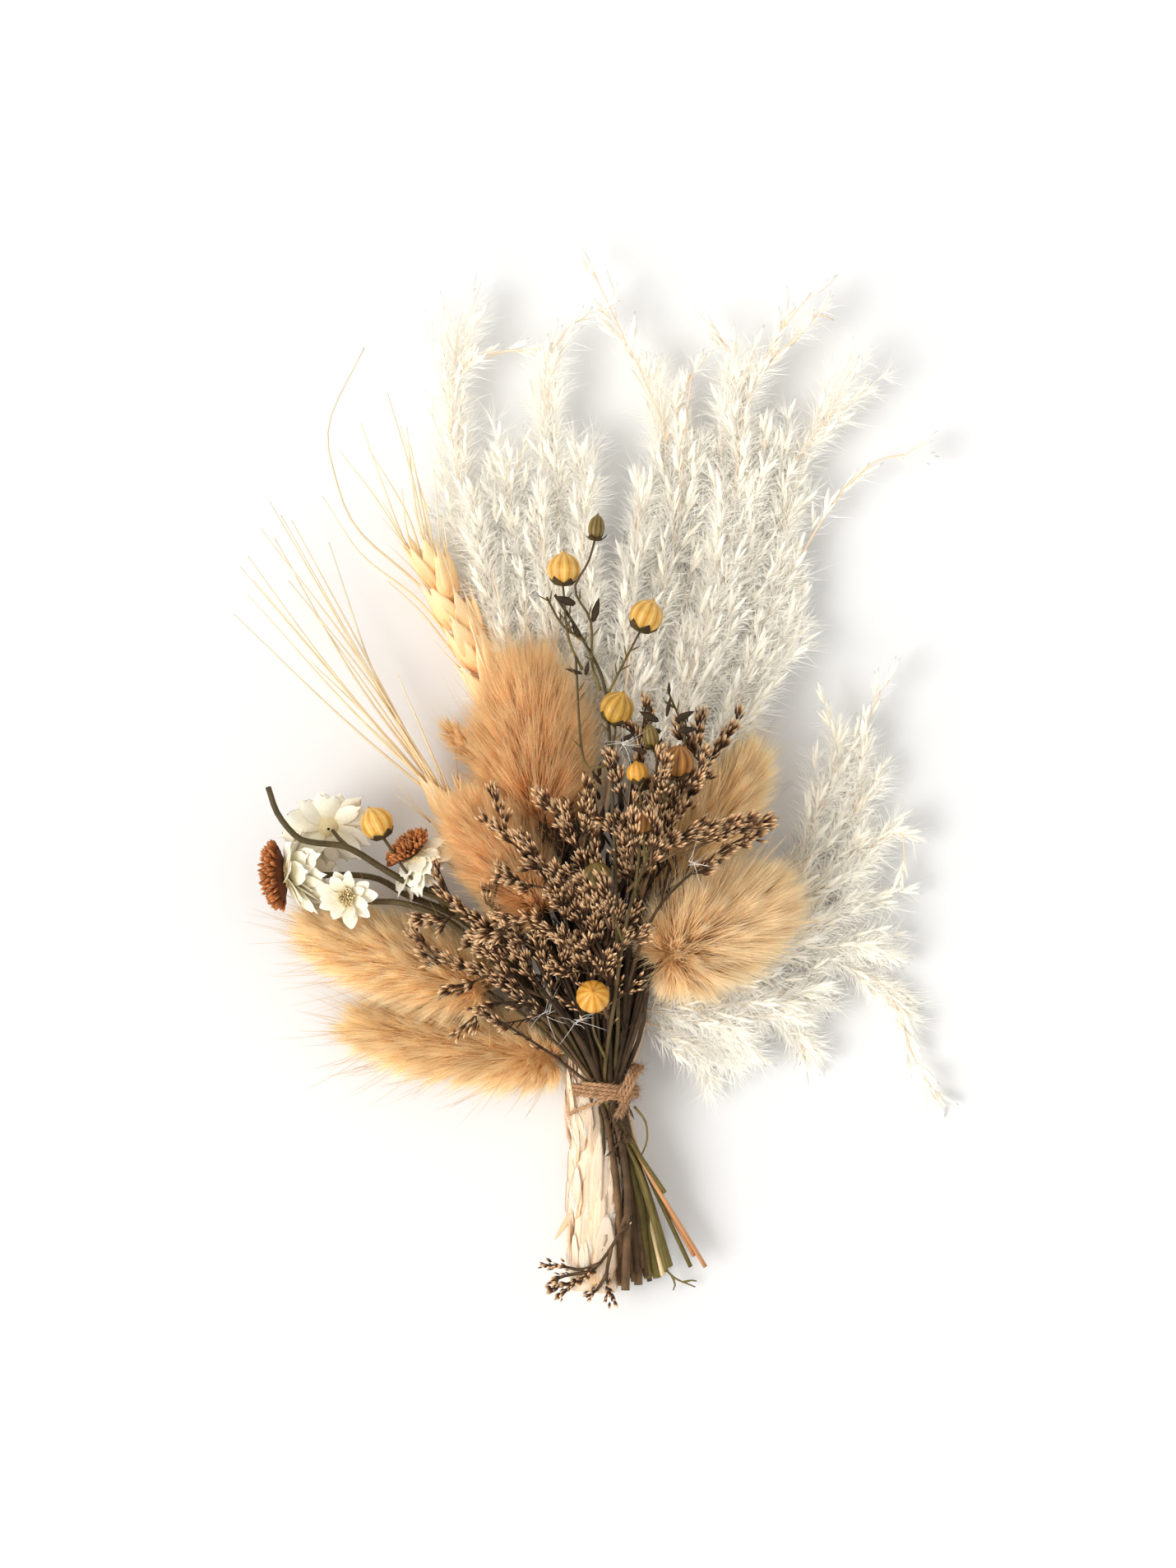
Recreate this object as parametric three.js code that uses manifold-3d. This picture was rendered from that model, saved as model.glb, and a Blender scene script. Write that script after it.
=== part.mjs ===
// A small posy of dried flowers and grasses, tied with jute twine and lying flat. Millimetres, +Z up.
// +Y runs from the cut ends to the tips, +X to the right as it is seen from above. The origin is on the
// surface, under the shaggy plume stems just below the tie.
import * as THREE from "three";
import { mergeVertices } from "three/addons/utils/BufferGeometryUtils.js";
import Module from "manifold-3d";

// Driving dimensions.
const GAP = 0.45; // kept between neighbouring pieces
// The stems where the twine holds them.
const TIE = { x: 0.1, y: 12.5, z: 9.6, halfWidth: 6.2, halfHeight: 8.2 };
TIE.below = 4; // how far the twine squeezes them, towards the cut ends
TIE.above = 6; // and towards the tips
TIE.reach = 20; // only stalks this near in X run through the twine
const TWINE_RADIUS = 0.65;
const TWINE_TURNS = 3;
const TWINE_PITCH = 1.65;
const POD_RADIUS = 3.6; // a ripe flax capsule
const STEP = 4; // length of one piece of a stalk while the stalks settle
const ROUNDS = 120; // rounds of settling
const STIFFNESS = 0.12; // how strongly a stalk straightens in each round
const SEAT = 0.55; // from a stalk's end to the capsule or bloom that it carries
const RESTING = "plume_right"; // the strand whose flat underside lies under the origin
const RESTING_REACH = 4; // how far it lies flat to both sides of the origin, along Y

// Colours.
const IVORY = 0xece6d6;
const TAN = 0xd8aa7c;
const STRAW = 0xebc890;
const BROWN = 0x8a6f5c;
const OLIVE = 0x66604a;
const GOLD = 0xcf9c44;
const CREAM = 0xf0ead2;
const RUST = 0x7d4322;
const JUTE = 0xb8946a;

// The plume grass: a strand of stems through the tie, which opens into fronds.
const PLUMES = {
  plume_left: {
    stem: [[-7.2, -31, 2.6], [-4.9, -6, 2.4], [-3.7, 12.5, 4.9], [-6, 35, 2.4], [-8, 62, 2.4]],
    fronds: [
      [[-8, 62, 2.4], [-17.5, 99, 3], [-27.5, 128, 5], [-33.5, 157.5, 7], [-31.5, 187.5, 8]],
      [[-33, 152, 7], [-29.5, 170, 9], [-24.5, 177.5, 10], [-14.5, 178.5, 10]],
      [[-8, 62, 2.4], [-13.5, 106, 3.5], [-19, 135.5, 6], [-22.5, 157, 8]],
    ],
  },
  plume_middle: {
    stem: [[-5, -32, 7.4], [-3.6, -6, 7.4], [-4.4, 12.5, 8.2], [-3, 32, 4.6], [-2.5, 62, 2.6]],
    fronds: [
      [[-2.5, 62, 2.6], [-6.5, 110, 4], [-10, 142.5, 7], [-13, 164.5, 9], [-8, 182, 10], [-3.5, 186, 10]],
      [[-2.5, 62, 2.6], [-2, 110, 6], [-4, 139, 9], [-3, 156.5, 10]],
      [[-2.5, 62, 2.6], [5.5, 110, 3], [12, 142.5, 5], [13, 161, 7], [2.5, 185, 10], [-2.5, 195.5, 11]],
    ],
  },
  plume_right: {
    stem: [
      [-2.4, -32, 0.9], [-0.6, -12, 0.2], [0.6, 1, 0], [0.4, 5, 0.2], [-0.2, 13, 3.2], [0, 20, 2.8],
      [0.8, 35, 2.4], [3, 62, 2.4],
    ],
    fronds: [
      [[3, 62, 2.4], [10, 106, 5], [16, 139, 8], [18, 161, 10], [19.5, 173, 11]],
      [[3, 62, 2.4], [12, 102.5, 3], [22, 135.5, 5], [27.5, 161, 7], [30, 174, 8], [25, 182, 9]],
      [[3, 62, 2.4], [17, 100.5, 6], [27.5, 135.5, 9], [31, 164.5, 10], [38.5, 181, 11], [47, 193, 12]],
    ],
  },
  plume_edge: {
    stem: [[-0.6, -31, 7.2], [0.8, -6, 6.6], [-0.8, 12.5, 6.6], [3.5, 32, 4], [8, 60, 2.4]],
    fronds: [
      [[8, 60, 2.4], [23, 102.5, 3], [35, 132, 5], [43.5, 157.5, 7], [55.5, 171, 8]],
      [[8, 60, 2.4], [26, 100.5, 3.5], [38.5, 122.5, 6], [49.5, 142, 7], [59.5, 153, 8], [69, 155.5, 8]],
    ],
  },
  plume_side: {
    stem: [[4.5, -24, 2.4], [4.6, -6, 2.6], [2.8, 12.5, 4.4], [3.4, 18, 4], [9, 28, 2.6], [20, 38, 3]],
    fronds: [
      [[20, 38, 3], [41, 62, 4], [48.5, 77, 6], [52, 88, 8], [50, 98, 9]],
      [[20, 38, 3], [46, 62, 3], [56, 77, 5], [57.5, 91.5, 7], [61.5, 102.5, 8]],
      [[20, 38, 3], [46, 56, 5], [59.5, 67.5, 6], [66, 71, 7], [67, 62, 6]],
      [[20, 38, 3], [45, 50.5, 3], [57.5, 55, 4], [65, 58, 5]],
      [[20, 38, 3], [45, 44, 4], [59.5, 38.5, 4], [65.5, 31, 4], [68.5, 22, 4], [72.5, 13.5, 4]],
      [[20, 38, 3], [34, 34, 3], [41, 27.5, 3], [46, 20, 3]],
      [[14, 32, 3], [18.5, 26, 3], [22.5, 20, 3]],
    ],
  },
};
const PLUME = {
  stem: 1.4,
  frond: 0.5,
  reach: 1.6, // room that a frond needs while the stalks settle
  bare: 34, // length of a frond below its first spikelets
  brush: { sides: 4, pitch: 4.6, core: 0.75, reach: (t) => 4.6 - 2.2 * t, forward: 1.1, flat: 0.75 },
  scales: { from: 0, sides: 6, pitch: 3.8, core: 1.5, reach: () => 0.9, forward: 1.6 },
};

// Bunny-tail grass: the stem from its cut end to the head's root, the head's tip, and its radius.
const TAILS = {
  bunny_tail_1: {
    stem: [[1, -27, 5], [1.2, -6, 8.5], [1, 12.5, 9.4], [-6, 45, 8.5], [-14.2, 69, 13]],
    tip: [-17.4, 110.5, 16], radius: 10,
  },
  bunny_tail_2: {
    stem: [[3.5, -26, 4], [2, -6, 8], [-0.6, 12.5, 9.2], [-6, 36, 17], [-13.6, 53.5, 22]],
    tip: [-33.2, 78.8, 22.5], radius: 7.4,
  },
  bunny_tail_3: {
    stem: [[4, -25, 6.5], [1, -6, 10], [-3.4, 12.5, 10.6], [-14, 27, 15], [-26, 35.8, 13.8]],
    tip: [-66, 49.2, 11.5], radius: 7,
  },
  bunny_tail_4: {
    stem: [[5, -24, 8], [0, -4, 10.5], [-4.8, 10.5, 11.4], [-11, 20.6, 7]],
    tip: [-57, 27.8, 5.6], radius: 6.6,
  },
  bunny_tail_5: {
    stem: [[11, -27, 3], [7, -6, 6], [3.6, 12.5, 8.4], [7, 36, 8], [11.5, 53, 8.4]],
    tip: [34.8, 90, 7.2], radius: 8.2,
  },
  bunny_tail_6: {
    stem: [[20, -23.6, 6], [9.2, -2, 9.5], [5, 12.5, 9.8], [5.5, 30, 16], [9.3, 43.3, 20.5]],
    tip: [44.3, 58.6, 21.2], radius: 9.2,
  },
  bunny_tail_7: {
    stem: [[6, -26, 5], [4, -6, 6], [1, 12.5, 7.6], [-8, 50, 6.5], [-23, 82.5, 5.5]],
    tip: [-36.5, 98, 6], radius: 3.4,
  },
};
const TAIL_STEM = 0.45; // radius
const HEAD = { around: 12, rows: 13, valley: 0.74, forward: 1.4 }; // the rows of points on a head

// Bearded wheat: the straw, the ear's axis that follows it, and the awns' tips.
const WHEAT = {
  wheat_ear_1: {
    hidden: 0,
    stem: [[22.5, -26, 4], [8.6, -1, 8], [2.2, 12.5, 6.8], [-6, 50, 5.5], [-18, 88, 5], [-26, 101, 5.6]],
    ear: [[-26, 101, 5.6], [-30, 111.6, 6.2], [-35, 121, 7.2], [-38.6, 136, 8.5]],
    awns: [
      [-53.5, 178.5, 13], [-63.5, 145, 11], [-54.5, 161.5, 14], [-52.6, 156.5, 10], [-49, 169, 12],
      [-45.5, 161.5, 9], [-44, 161.3, 12], [-45.2, 147.5, 8], [-48.5, 127, 7], [-38, 152, 10],
    ],
  },
  wheat_ear_2: {
    hidden: 4,
    stem: [[13, -28, 7], [8, -6, 4.6], [0.8, 12.5, 5], [-8, 30, 6], [-17.5, 46, 8]],
    ear: [[-17.5, 46, 8], [-26, 60, 8.4], [-35, 77, 9]],
    awns: [
      [-74.5, 144.5, 12], [-69.7, 140.5, 10], [-73.5, 136.5, 8], [-79.5, 132.5, 10], [-81, 130, 12],
      [-78, 127, 9], [-79.5, 124, 11], [-82.5, 119.5, 9], [-70.3, 127, 12], [-64.5, 119.5, 10],
      [-61.3, 135.5, 14], [-46, 106, 11],
    ],
  },
};
const EAR = {
  straw: 0.75,
  radius: 3.4,
  awn: 0.36,
  every: 3.6, // from one pair of awns to the next
  brush: { from: 0, sides: 6, pitch: 2.9, core: 1.7, reach: () => 2, forward: 1.4, flat: 0.8 },
};

// Sea lavender: dark branching stems that carry florets along the upper parts.
const LAVENDER = {
  sea_lavender_left: {
    stem: [
      [3.8, -30, 7], [2.4, -6, 11.5], [-3.2, 12.5, 12.6], [-9, 27, 17.5], [-15.5, 38, 21], [-24.5, 49.5, 22.5],
      [-32, 54, 22.5], [-36.5, 61, 22.5], [-35.5, 68.5, 22.5],
    ],
    forks: [
      [[-13.5, 34.5, 20], [-23, 38.5, 22], [-32, 41, 22], [-43, 44.5, 21]],
      [[-11.5, 31, 19], [-18, 33, 19.5], [-24.5, 33, 19.5], [-31, 31.5, 18.5]],
    ],
  },
  sea_lavender_middle: {
    stem: [
      [4.6, -31, 11], [5, -6, 12.5], [0.6, 12.5, 15.4], [1, 27.5, 21], [0, 55, 29.5], [-2, 69.5, 32],
      [-4, 80.5, 33], [-6.5, 86.5, 33],
    ],
    forks: [
      [[0.6, 40.5, 25], [-8, 54, 32], [-17.5, 66, 34.5], [-28, 75, 34.5]],
      [[0.6, 38.5, 25], [-6.5, 47, 30], [-15.5, 51.5, 33], [-24.5, 52.5, 32.5]],
      [[0.2, 46, 27], [4.5, 71, 33], [8, 84, 34], [5.5, 94, 34], [0, 95, 34]],
      [[-0.5, 58, 30], [-7, 70, 34], [-10, 79, 35]],
      [[5, -14, 12], [1, -22, 13.5], [-6, -29, 12], [-12.4, -31, 10]],
      [[1.5, -21.5, 13.5], [0.5, -28, 12.5], [1.8, -33.5, 10]],
    ],
  },
  sea_lavender_right: {
    stem: [
      [7.5, -30, 6], [7.2, -6, 8.4], [4, 12.5, 12], [4.2, 25, 18.5], [5, 40.5, 26], [7.5, 55, 30], [12, 67.5, 29.5],
      [21, 82.5, 27], [28.5, 94, 26], [32.8, 101, 26],
    ],
    forks: [
      [[4.8, 36, 23.5], [11, 47, 32], [21, 57.5, 33.5], [30, 67, 32.5], [38, 73, 31]],
      [[12, 67.5, 29.5], [16.5, 78.5, 32], [21, 94, 33]],
      [[8, 56.5, 30], [12, 71, 34], [12, 83, 35]],
    ],
  },
};
const SPRAY = {
  stem: 0.95,
  fork: 0.5,
  reach: 1.3, // room that a spray needs while the stalks settle
  bloom: 34, // length of a spray that carries florets
  brush: { sides: 6, pitch: 2.2, core: 0.85, reach: (t) => 2.6 - 1.3 * t, forward: 0.75 },
};

// Flax: thin branching stalks, with capsules at their ends; [x, y, z] of a capsule, its size and its axis.
const FLAX = {
  flax_stalk_upper: {
    stem: [
      [19.2, -26, 6], [9.4, -3, 10.5], [2, 12.5, 13.2], [3, 30, 23], [2.4, 60, 35.5], [1.4, 84, 36.5], [0, 103, 33],
      [-4.5, 113, 31], [-8, 119, 30], [-9, 124.6, 29],
    ],
    forks: [
      [[-0.4, 104, 32.5], [-2.4, 115.5, 31], [-2.2, 127, 30], [-1.9, 133.6, 29]],
      [[0.4, 101, 33], [4.5, 109, 31], [7.4, 114.8, 30]],
      [[-5, 113.5, 31], [-9.5, 117, 31], [-12.8, 123, 31]],
      [[1, 88, 36.3], [2.2, 92, 37], [2.6, 94, 37]],
    ],
  },
  flax_stalk_lower: {
    stem: [
      [13.8, -27, 9], [8.6, -6, 12], [-1.2, 12.5, 14.8], [2.2, 34, 30], [5.4, 54, 37], [9.4, 66, 38],
      [13.6, 80, 37], [15.4, 82.4, 36.5],
    ],
    forks: [
      [[4, 47, 35], [1.4, 54, 38], [-1, 57.6, 38]],
      [[6.5, 57, 37.5], [7.4, 65, 39], [7.8, 69.4, 38.6]],
      [[8.8, 64, 38], [8.4, 74, 38.6], [7.6, 80.6, 38]],
      [[13, 78.4, 37.2], [12.2, 84, 37.6], [11, 88.8, 37]],
      [[14.8, 81.6, 36.7], [17.6, 92, 36], [14.2, 99.6, 34.5]],
      [[0, 21, 21], [-2.4, 27, 28], [-2.6, 30.6, 32]],
    ],
  },
  flax_stalk_left: {
    stem: [
      [13.6, -9.3, 10], [8.4, 0, 12.6], [-2.6, 12.5, 14.4], [-12, 33, 22], [-24, 47.5, 19.8], [-34, 56, 19.6],
      [-42, 60, 20], [-48, 68.6, 21],
    ],
    forks: [],
  },
};
const FLAX_STALK = 0.42; // radius
const PODS = {
  flax_pod_1: { at: [-9, 129.2, 29], size: 1, axis: [0, 1, 0.1] },
  flax_pod_2: { at: [9.2, 118.8, 29.8], size: 1.02, axis: [0.45, 1, 0.1] },
  flax_pod_3: { at: [2.7, 98.5, 37.4], size: 1.02, axis: [0.35, 0.8, 0.35] },
  flax_pod_4: { at: [7.2, 84.2, 38.4], size: 0.62, axis: [-0.1, 1, 0.1] },
  flax_pod_5: { at: [16.2, 86.7, 37], size: 0.98, axis: [0.1, 1, 0.4] },
  flax_pod_6: { at: [8.2, 73, 39], size: 0.7, axis: [0.1, 1, 0.3] },
  flax_pod_7: { at: [-1.6, 61.6, 38.2], size: 0.82, axis: [-0.1, 1, 0.5] },
  flax_pod_8: { at: [-2.6, 34.8, 33.6], size: 1, axis: [0, 0.35, 1] },
  flax_pod_9: { at: [-50.5, 73, 21.6], size: 1, axis: [-0.5, 1, 0.1] },
  flax_bud_10: { at: [-1.8, 137.6, 28.8], size: 0.55, axis: [0, 1, 0] },
  flax_bud_11: { at: [10.2, 92, 37], size: 0.72, axis: [-0.2, 1, 0.2] },
};

// Winged everlasting: ribbed stems, and blooms with a domed disc in a ring of pointed petals.
const EVERLASTING_STEMS = {
  everlasting_stem_1: {
    stem: [
      [9.7, -28.5, 4], [6.8, -6, 9], [-1.4, 12.5, 11], [-17.5, 37, 17], [-33, 53.8, 17.6], [-41.5, 58.4, 19],
      [-49, 62.8, 20.6], [-57, 67.6, 22], [-63.8, 68.6, 23], [-68, 69.8, 23.4], [-72.4, 75, 23], [-74.6, 81, 22],
    ],
    forks: [[[-55, 66.4, 21.6], [-58, 68.6, 20.6], [-59.4, 70.4, 19.4]]],
  },
  everlasting_stem_2: {
    stem: [
      [11.8, -28.5, 3], [7.6, -6, 7.4], [0.4, 12.5, 12], [-16, 37, 15], [-31, 51, 14.4], [-44, 57, 14.4],
      [-52, 61, 14.4], [-64.6, 61.4, 14],
    ],
    forks: [[[-35, 53.4, 14.4], [-39.5, 60.4, 15], [-40.6, 62.2, 15.6]]],
  },
  everlasting_stem_3: {
    stem: [
      [14.3, -26, 6], [8.4, -6, 10], [-1.4, 12.5, 12.8], [-17, 34.5, 19], [-33, 50, 18.4], [-44, 55, 18.4],
      [-53, 55.6, 18.8], [-56.4, 56, 20],
    ],
    forks: [[[14, -25, 6], [16, -28, 5], [20.3, -30.7, 4]]],
  },
};
const EVERLASTING_STEM = 0.62; // radius
const BLOOMS = {
  everlasting_1: { at: [-61.4, 72.7, 16], facing: [-0.45, 0.42, -0.78], petals: 7.2, disc: 4, rise: 0.2 },
  everlasting_2: { at: [-70, 61.6, 13.8], facing: [-0.98, -0.1, 0.12], petals: 8.8, disc: 7.4, rise: -0.35 },
  everlasting_3: { at: [-57, 56.8, 22], facing: [-0.1, -0.1, 1], petals: 6.8, disc: 2.2, rise: 0.2 },
  everlasting_4: { at: [-41.6, 65.2, 17], facing: [-0.5, 0.7, 0.5], petals: 7, disc: 4.6, rise: 0.1 },
};
const PETALS = 10; // in one bloom
const PETAL = { width: 3.5, thickness: 0.95 };

const wasm = await Module();
wasm.setup();

const vector = (p) => new THREE.Vector3(...p);

// A closed geometry as a solid, its shared corners merged.
function solid(geometry) {
  geometry.deleteAttribute("normal");
  geometry.deleteAttribute("uv");
  const merged = mergeVertices(geometry, 1e-4);
  return new wasm.Manifold(
    new wasm.Mesh({
      numProp: 3,
      vertProperties: merged.attributes.position.array,
      triVerts: new Uint32Array(merged.index.array),
    }),
  );
}

// A repeatable random number from 0 to 1.
function randomFrom(seed) {
  let state = seed;
  return () => {
    state = (state * 1664525 + 1013904223) % 4294967296;
    return state / 4294967296;
  };
}

// A round stalk along a smooth curve through the points, with a step every "pace".
function tube(points, radius, sides, pace = 8) {
  const circle = new THREE.EllipseCurve(0, 0, radius, radius).getPoints(sides).slice(0, sides);
  const path = new THREE.CatmullRomCurve3(points, false, "centripetal");
  const steps = Math.max(2, Math.round(path.getLength() / pace));
  return solid(
    new THREE.ExtrudeGeometry(new THREE.Shape(circle), { steps, bevelEnabled: false, extrudePath: path }),
  );
}

// The smooth curve of a settled stalk, its length, and the points of its lower part.
const curveOf = (chain) => new THREE.CatmullRomCurve3(chain.points, false, "centripetal");
const lengthOf = (chain) => curveOf(chain).getLength();

function lower(chain, length) {
  const curve = curveOf(chain);
  const count = Math.max(2, Math.round(length / STEP));
  const share = Math.min(1, length / curve.getLength());
  return Array.from({ length: count + 1 }, (_, i) => curve.getPointAt((share * i) / count));
}

// A geometry whose long axis is +Y, with its root at 0, laid from root along direction.
function place(geometry, root, direction, spin = 0) {
  const turn = new THREE.Quaternion().setFromUnitVectors(new THREE.Vector3(0, 1, 0), direction);
  geometry.rotateY(spin);
  geometry.applyQuaternion(turn);
  geometry.translate(root.x, root.y, root.z);
  return solid(geometry);
}

// ---- Stalks that settle against each other until none touch ----

const pieces = []; // every round piece: node, a, b, radius; the stalks' pieces share their points
const chains = [];

// Cuts a hand-drawn route into equal steps. A stalk that blooms needs more room from the height "from" on.
function addStalk(node, route, radius, reach = radius, from = Infinity, parent = null) {
  const curve = new THREE.CatmullRomCurve3(route.map(vector), false, "centripetal");
  const count = Math.max(2, Math.round(curve.getLength() / STEP));
  const points = curve.getSpacedPoints(count);
  const room = points.map((p) => (p.y > from ? reach : radius));
  const chain = { node, points, radius, room, parent, rootIndex: 0 };
  if (parent) {
    const gaps = parent.points.map((p) => p.distanceTo(points[0]));
    chain.rootIndex = gaps.indexOf(Math.min(...gaps));
    points[0] = parent.points[chain.rootIndex];
  }
  chains.push(chain);
  return chain;
}

// The nearest points of two segments, as their fractions along each.
function nearest(a, b, c, d) {
  const u = b.clone().sub(a);
  const v = d.clone().sub(c);
  const w = a.clone().sub(c);
  const uu = u.dot(u);
  const uv = u.dot(v);
  const vv = v.dot(v);
  const uw = u.dot(w);
  const vw = v.dot(w);
  const det = uu * vv - uv * uv;
  let s = det > 1e-9 ? THREE.MathUtils.clamp((uv * vw - vv * uw) / det, 0, 1) : 0.5;
  const t = THREE.MathUtils.clamp((uv * s + vw) / vv, 0, 1);
  s = THREE.MathUtils.clamp((uv * t - uw) / uu, 0, 1);
  const apart = a.clone().addScaledVector(u, s).sub(c).addScaledVector(v, -t);
  return { s, t, apart, distance: apart.length() };
}

// All segments of the stalks and of the fixed heads.
function segments(fixed) {
  const list = [];
  for (const chain of chains)
    for (let i = 0; i + 1 < chain.points.length; i++)
      list.push({ node: chain.node, chain, i, radius: Math.max(chain.room[i], chain.room[i + 1]) });
  for (const f of fixed) list.push({ ...f, chain: null });
  return list;
}

const start = (s) => (s.chain ? s.chain.points[s.i] : s.a);
const finish = (s) => (s.chain ? s.chain.points[s.i + 1] : s.b);

// Pairs of segments of different nodes that are near enough to meet while they settle.
function nearPairs(list, margin) {
  const middles = list.map((s) => start(s).clone().add(finish(s)).multiplyScalar(0.5));
  const halves = list.map((s) => start(s).distanceTo(finish(s)) / 2);
  const pairs = [];
  for (let i = 0; i < list.length; i++)
    for (let j = i + 1; j < list.length; j++) {
      if (list[i].node === list[j].node || (!list[i].chain && !list[j].chain)) continue;
      const room = list[i].radius + list[j].radius + halves[i] + halves[j] + margin;
      if (middles[i].distanceToSquared(middles[j]) < room * room) pairs.push([list[i], list[j]]);
    }
  return pairs;
}

// One push that parts two segments, shared out over their ends.
function part(first, second) {
  const near = nearest(start(first), finish(first), start(second), finish(second));
  const lack = first.radius + second.radius + GAP - near.distance;
  if (lack <= 0) return;
  const way = near.distance > 1e-6 ? near.apart.normalize() : new THREE.Vector3(0, 0, 1);
  const share = first.chain && second.chain ? 0.5 : 1;
  if (first.chain) shove(first, near.s, way, lack * share);
  if (second.chain) shove(second, near.t, way, -lack * share);
}

function shove(segment, along, way, amount) {
  const { points, rootIndex, parent } = segment.chain;
  const weight = 0.6 * amount;
  if (!(parent && segment.i === 0)) points[segment.i].addScaledVector(way, weight * (1 - along));
  points[segment.i + 1].addScaledVector(way, weight * along);
}

// Straightens a stalk a little.
function straighten({ points }) {
  for (let i = 1; i + 1 < points.length; i++) {
    const middle = points[i - 1].clone().add(points[i + 1]).multiplyScalar(0.5);
    points[i].lerp(middle, STIFFNESS);
  }
}

// Keeps a stalk inside the twine and above the surface, and the resting strand on it near the origin.
function hold({ node, points, radius }) {
  const lowest = 0.6 * radius;
  for (const p of points) {
    if (p.y > TIE.y - TIE.below && p.y < TIE.y + TIE.above && Math.abs(p.x - TIE.x) < TIE.reach) {
      const dx = (p.x - TIE.x) / (TIE.halfWidth - radius - 0.3);
      const dz = (p.z - TIE.z) / (TIE.halfHeight - radius - 0.3);
      const out = Math.hypot(dx, dz);
      if (out > 1) p.set(TIE.x + (p.x - TIE.x) / out, p.y, TIE.z + (p.z - TIE.z) / out);
    }
    p.z = node === RESTING && Math.abs(p.y) < RESTING_REACH ? lowest : Math.max(p.z, lowest);
  }
}

function settle(fixed) {
  const list = segments(fixed);
  for (let round = 0; round < ROUNDS; round++) {
    if (round % 10 === 0) list.pairs = nearPairs(list, 3);
    for (const [first, second] of list.pairs) part(first, second);
    if (round < ROUNDS - 15) chains.forEach(straighten);
    chains.forEach(hold);
  }
  for (const s of list) pieces.push({ node: s.node, a: start(s), b: finish(s), radius: s.radius });
}

// Is there room for a small piece of this node, clear of every other node?
function free(node, a, b, radius) {
  if (Math.min(a.z, b.z) < -1.5) return false;
  return pieces.every((p) => {
    if (p.node === node) return true;
    const room = p.radius + radius + 0.35;
    if (Math.abs(p.a.y - a.y) > room + 30) return true;
    return nearest(a, b, p.a, p.b).distance > room;
  });
}

const take = (node, a, b, radius) => pieces.push({ node, a: a.clone(), b: b.clone(), radius });

// Fuses solids into one body, cut flat at the surface; a loose scrap or a sealed pocket is dropped.
function fuse(parts, floor = true) {
  let body = wasm.Manifold.union(parts);
  if (floor) body = body.subtract(GROUND);
  const bodies = body.decompose();
  bodies.sort((p, q) => q.volume() - p.volume());
  return bodies[0].simplify(0.02);
}

const groundBox = new THREE.BoxGeometry(600, 600, 20);
groundBox.translate(0, 60, -10);
const GROUND = solid(groundBox);

const posy = new THREE.Group();
posy.name = "dried_posy";

// Adds a finished body to the posy as a named mesh.
function add(name, body, color, roughness = 0.9) {
  const { vertProperties, triVerts } = body.getMesh();
  const geometry = new THREE.BufferGeometry();
  geometry.setAttribute("position", new THREE.BufferAttribute(new Float32Array(vertProperties), 3));
  geometry.setIndex(new THREE.BufferAttribute(new Uint32Array(triVerts), 1));
  geometry.computeVertexNormals();
  const mesh = new THREE.Mesh(
    geometry,
    new THREE.MeshStandardMaterial({ color, roughness, metalness: 0 }),
  );
  mesh.name = name;
  posy.add(mesh);
}

// A direction that leans from a stalk's own way by an angle, turned about the stalk.
function lean(along, angle, turn) {
  const side = new THREE.Vector3(0, 0, 1).cross(along).normalize();
  const up = along.clone().cross(side).normalize();
  const out = side.multiplyScalar(Math.cos(turn)).addScaledVector(up, Math.sin(turn));
  return along.clone().multiplyScalar(Math.cos(angle)).addScaledVector(out, Math.sin(angle)).normalize();
}

// Points at equal steps along a settled stalk, with its way there.
function stations(chain, every) {
  const curve = curveOf(chain);
  const length = curve.getLength();
  const list = [];
  for (let d = every / 2; d < length; d += every)
    list.push({ point: curve.getPointAt(d / length), along: curve.getTangentAt(d / length) });
  return list;
}

// The upper part of a stalk as a brush: points stand out from its surface in rows, those of one row between
// those of the next. Each point is drawn in until it is clear of the other nodes.
function brush(node, chain, { from, sides, pitch, core, reach, forward, flat = 1 }, random) {
  const curve = curveOf(chain);
  const length = curve.getLength();
  const rows = Math.max(4, Math.round((length - from) / pitch));
  const grid = mergeVertices(stripped(new THREE.SphereGeometry(1, sides, rows)), 1e-5);
  const spots = grid.attributes.position;
  for (let i = 0; i < spots.count; i++) {
    const row = Math.round((Math.acos(THREE.MathUtils.clamp(spots.getY(i), -1, 1)) / Math.PI) * rows);
    const turn = Math.atan2(spots.getZ(i), spots.getX(i));
    const column = Math.round((turn / Math.PI / 2) * sides + sides);
    const t = 1 - row / rows;
    const u = Math.min(1, (from + t * (length - from)) / length);
    const along = curve.getTangentAt(u);
    const side = new THREE.Vector3(0, 0, 1).cross(along).normalize();
    const up = side.clone().cross(along);
    const out = side.multiplyScalar(Math.cos(turn)).addScaledVector(up, Math.sin(turn) * flat);
    const inner = row > 0 && row < rows;
    const base = curve.getPointAt(u).addScaledVector(out, inner ? core : 0);
    if (inner && row > 1 && (row + column) % 2 === 0) {
      const full = reach(t) * (0.75 + 0.5 * random());
      drawOut(node, base, out.clone().addScaledVector(along, forward), full, along.multiplyScalar(0.7 * pitch));
    }
    spots.setXYZ(i, base.x, base.y, base.z);
  }
  return solid(grid);
}

// Moves a point out along a way as far as there is room, trying shorter lengths in turn. The foot of what
// stands out reaches to both sides of the point.
function drawOut(node, base, way, full, foot) {
  for (const length of [full, full * 0.66, full * 0.4]) {
    const tip = base.clone().addScaledVector(way, length);
    const low = base.clone().sub(foot);
    const high = base.clone().add(foot);
    if (!free(node, low, tip, 0.5) || !free(node, high, tip, 0.5)) continue;
    take(node, low, tip, 0.3);
    take(node, high, tip, 0.3);
    base.copy(tip);
    return;
  }
}

// ---- Bunny-tail heads ----

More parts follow.
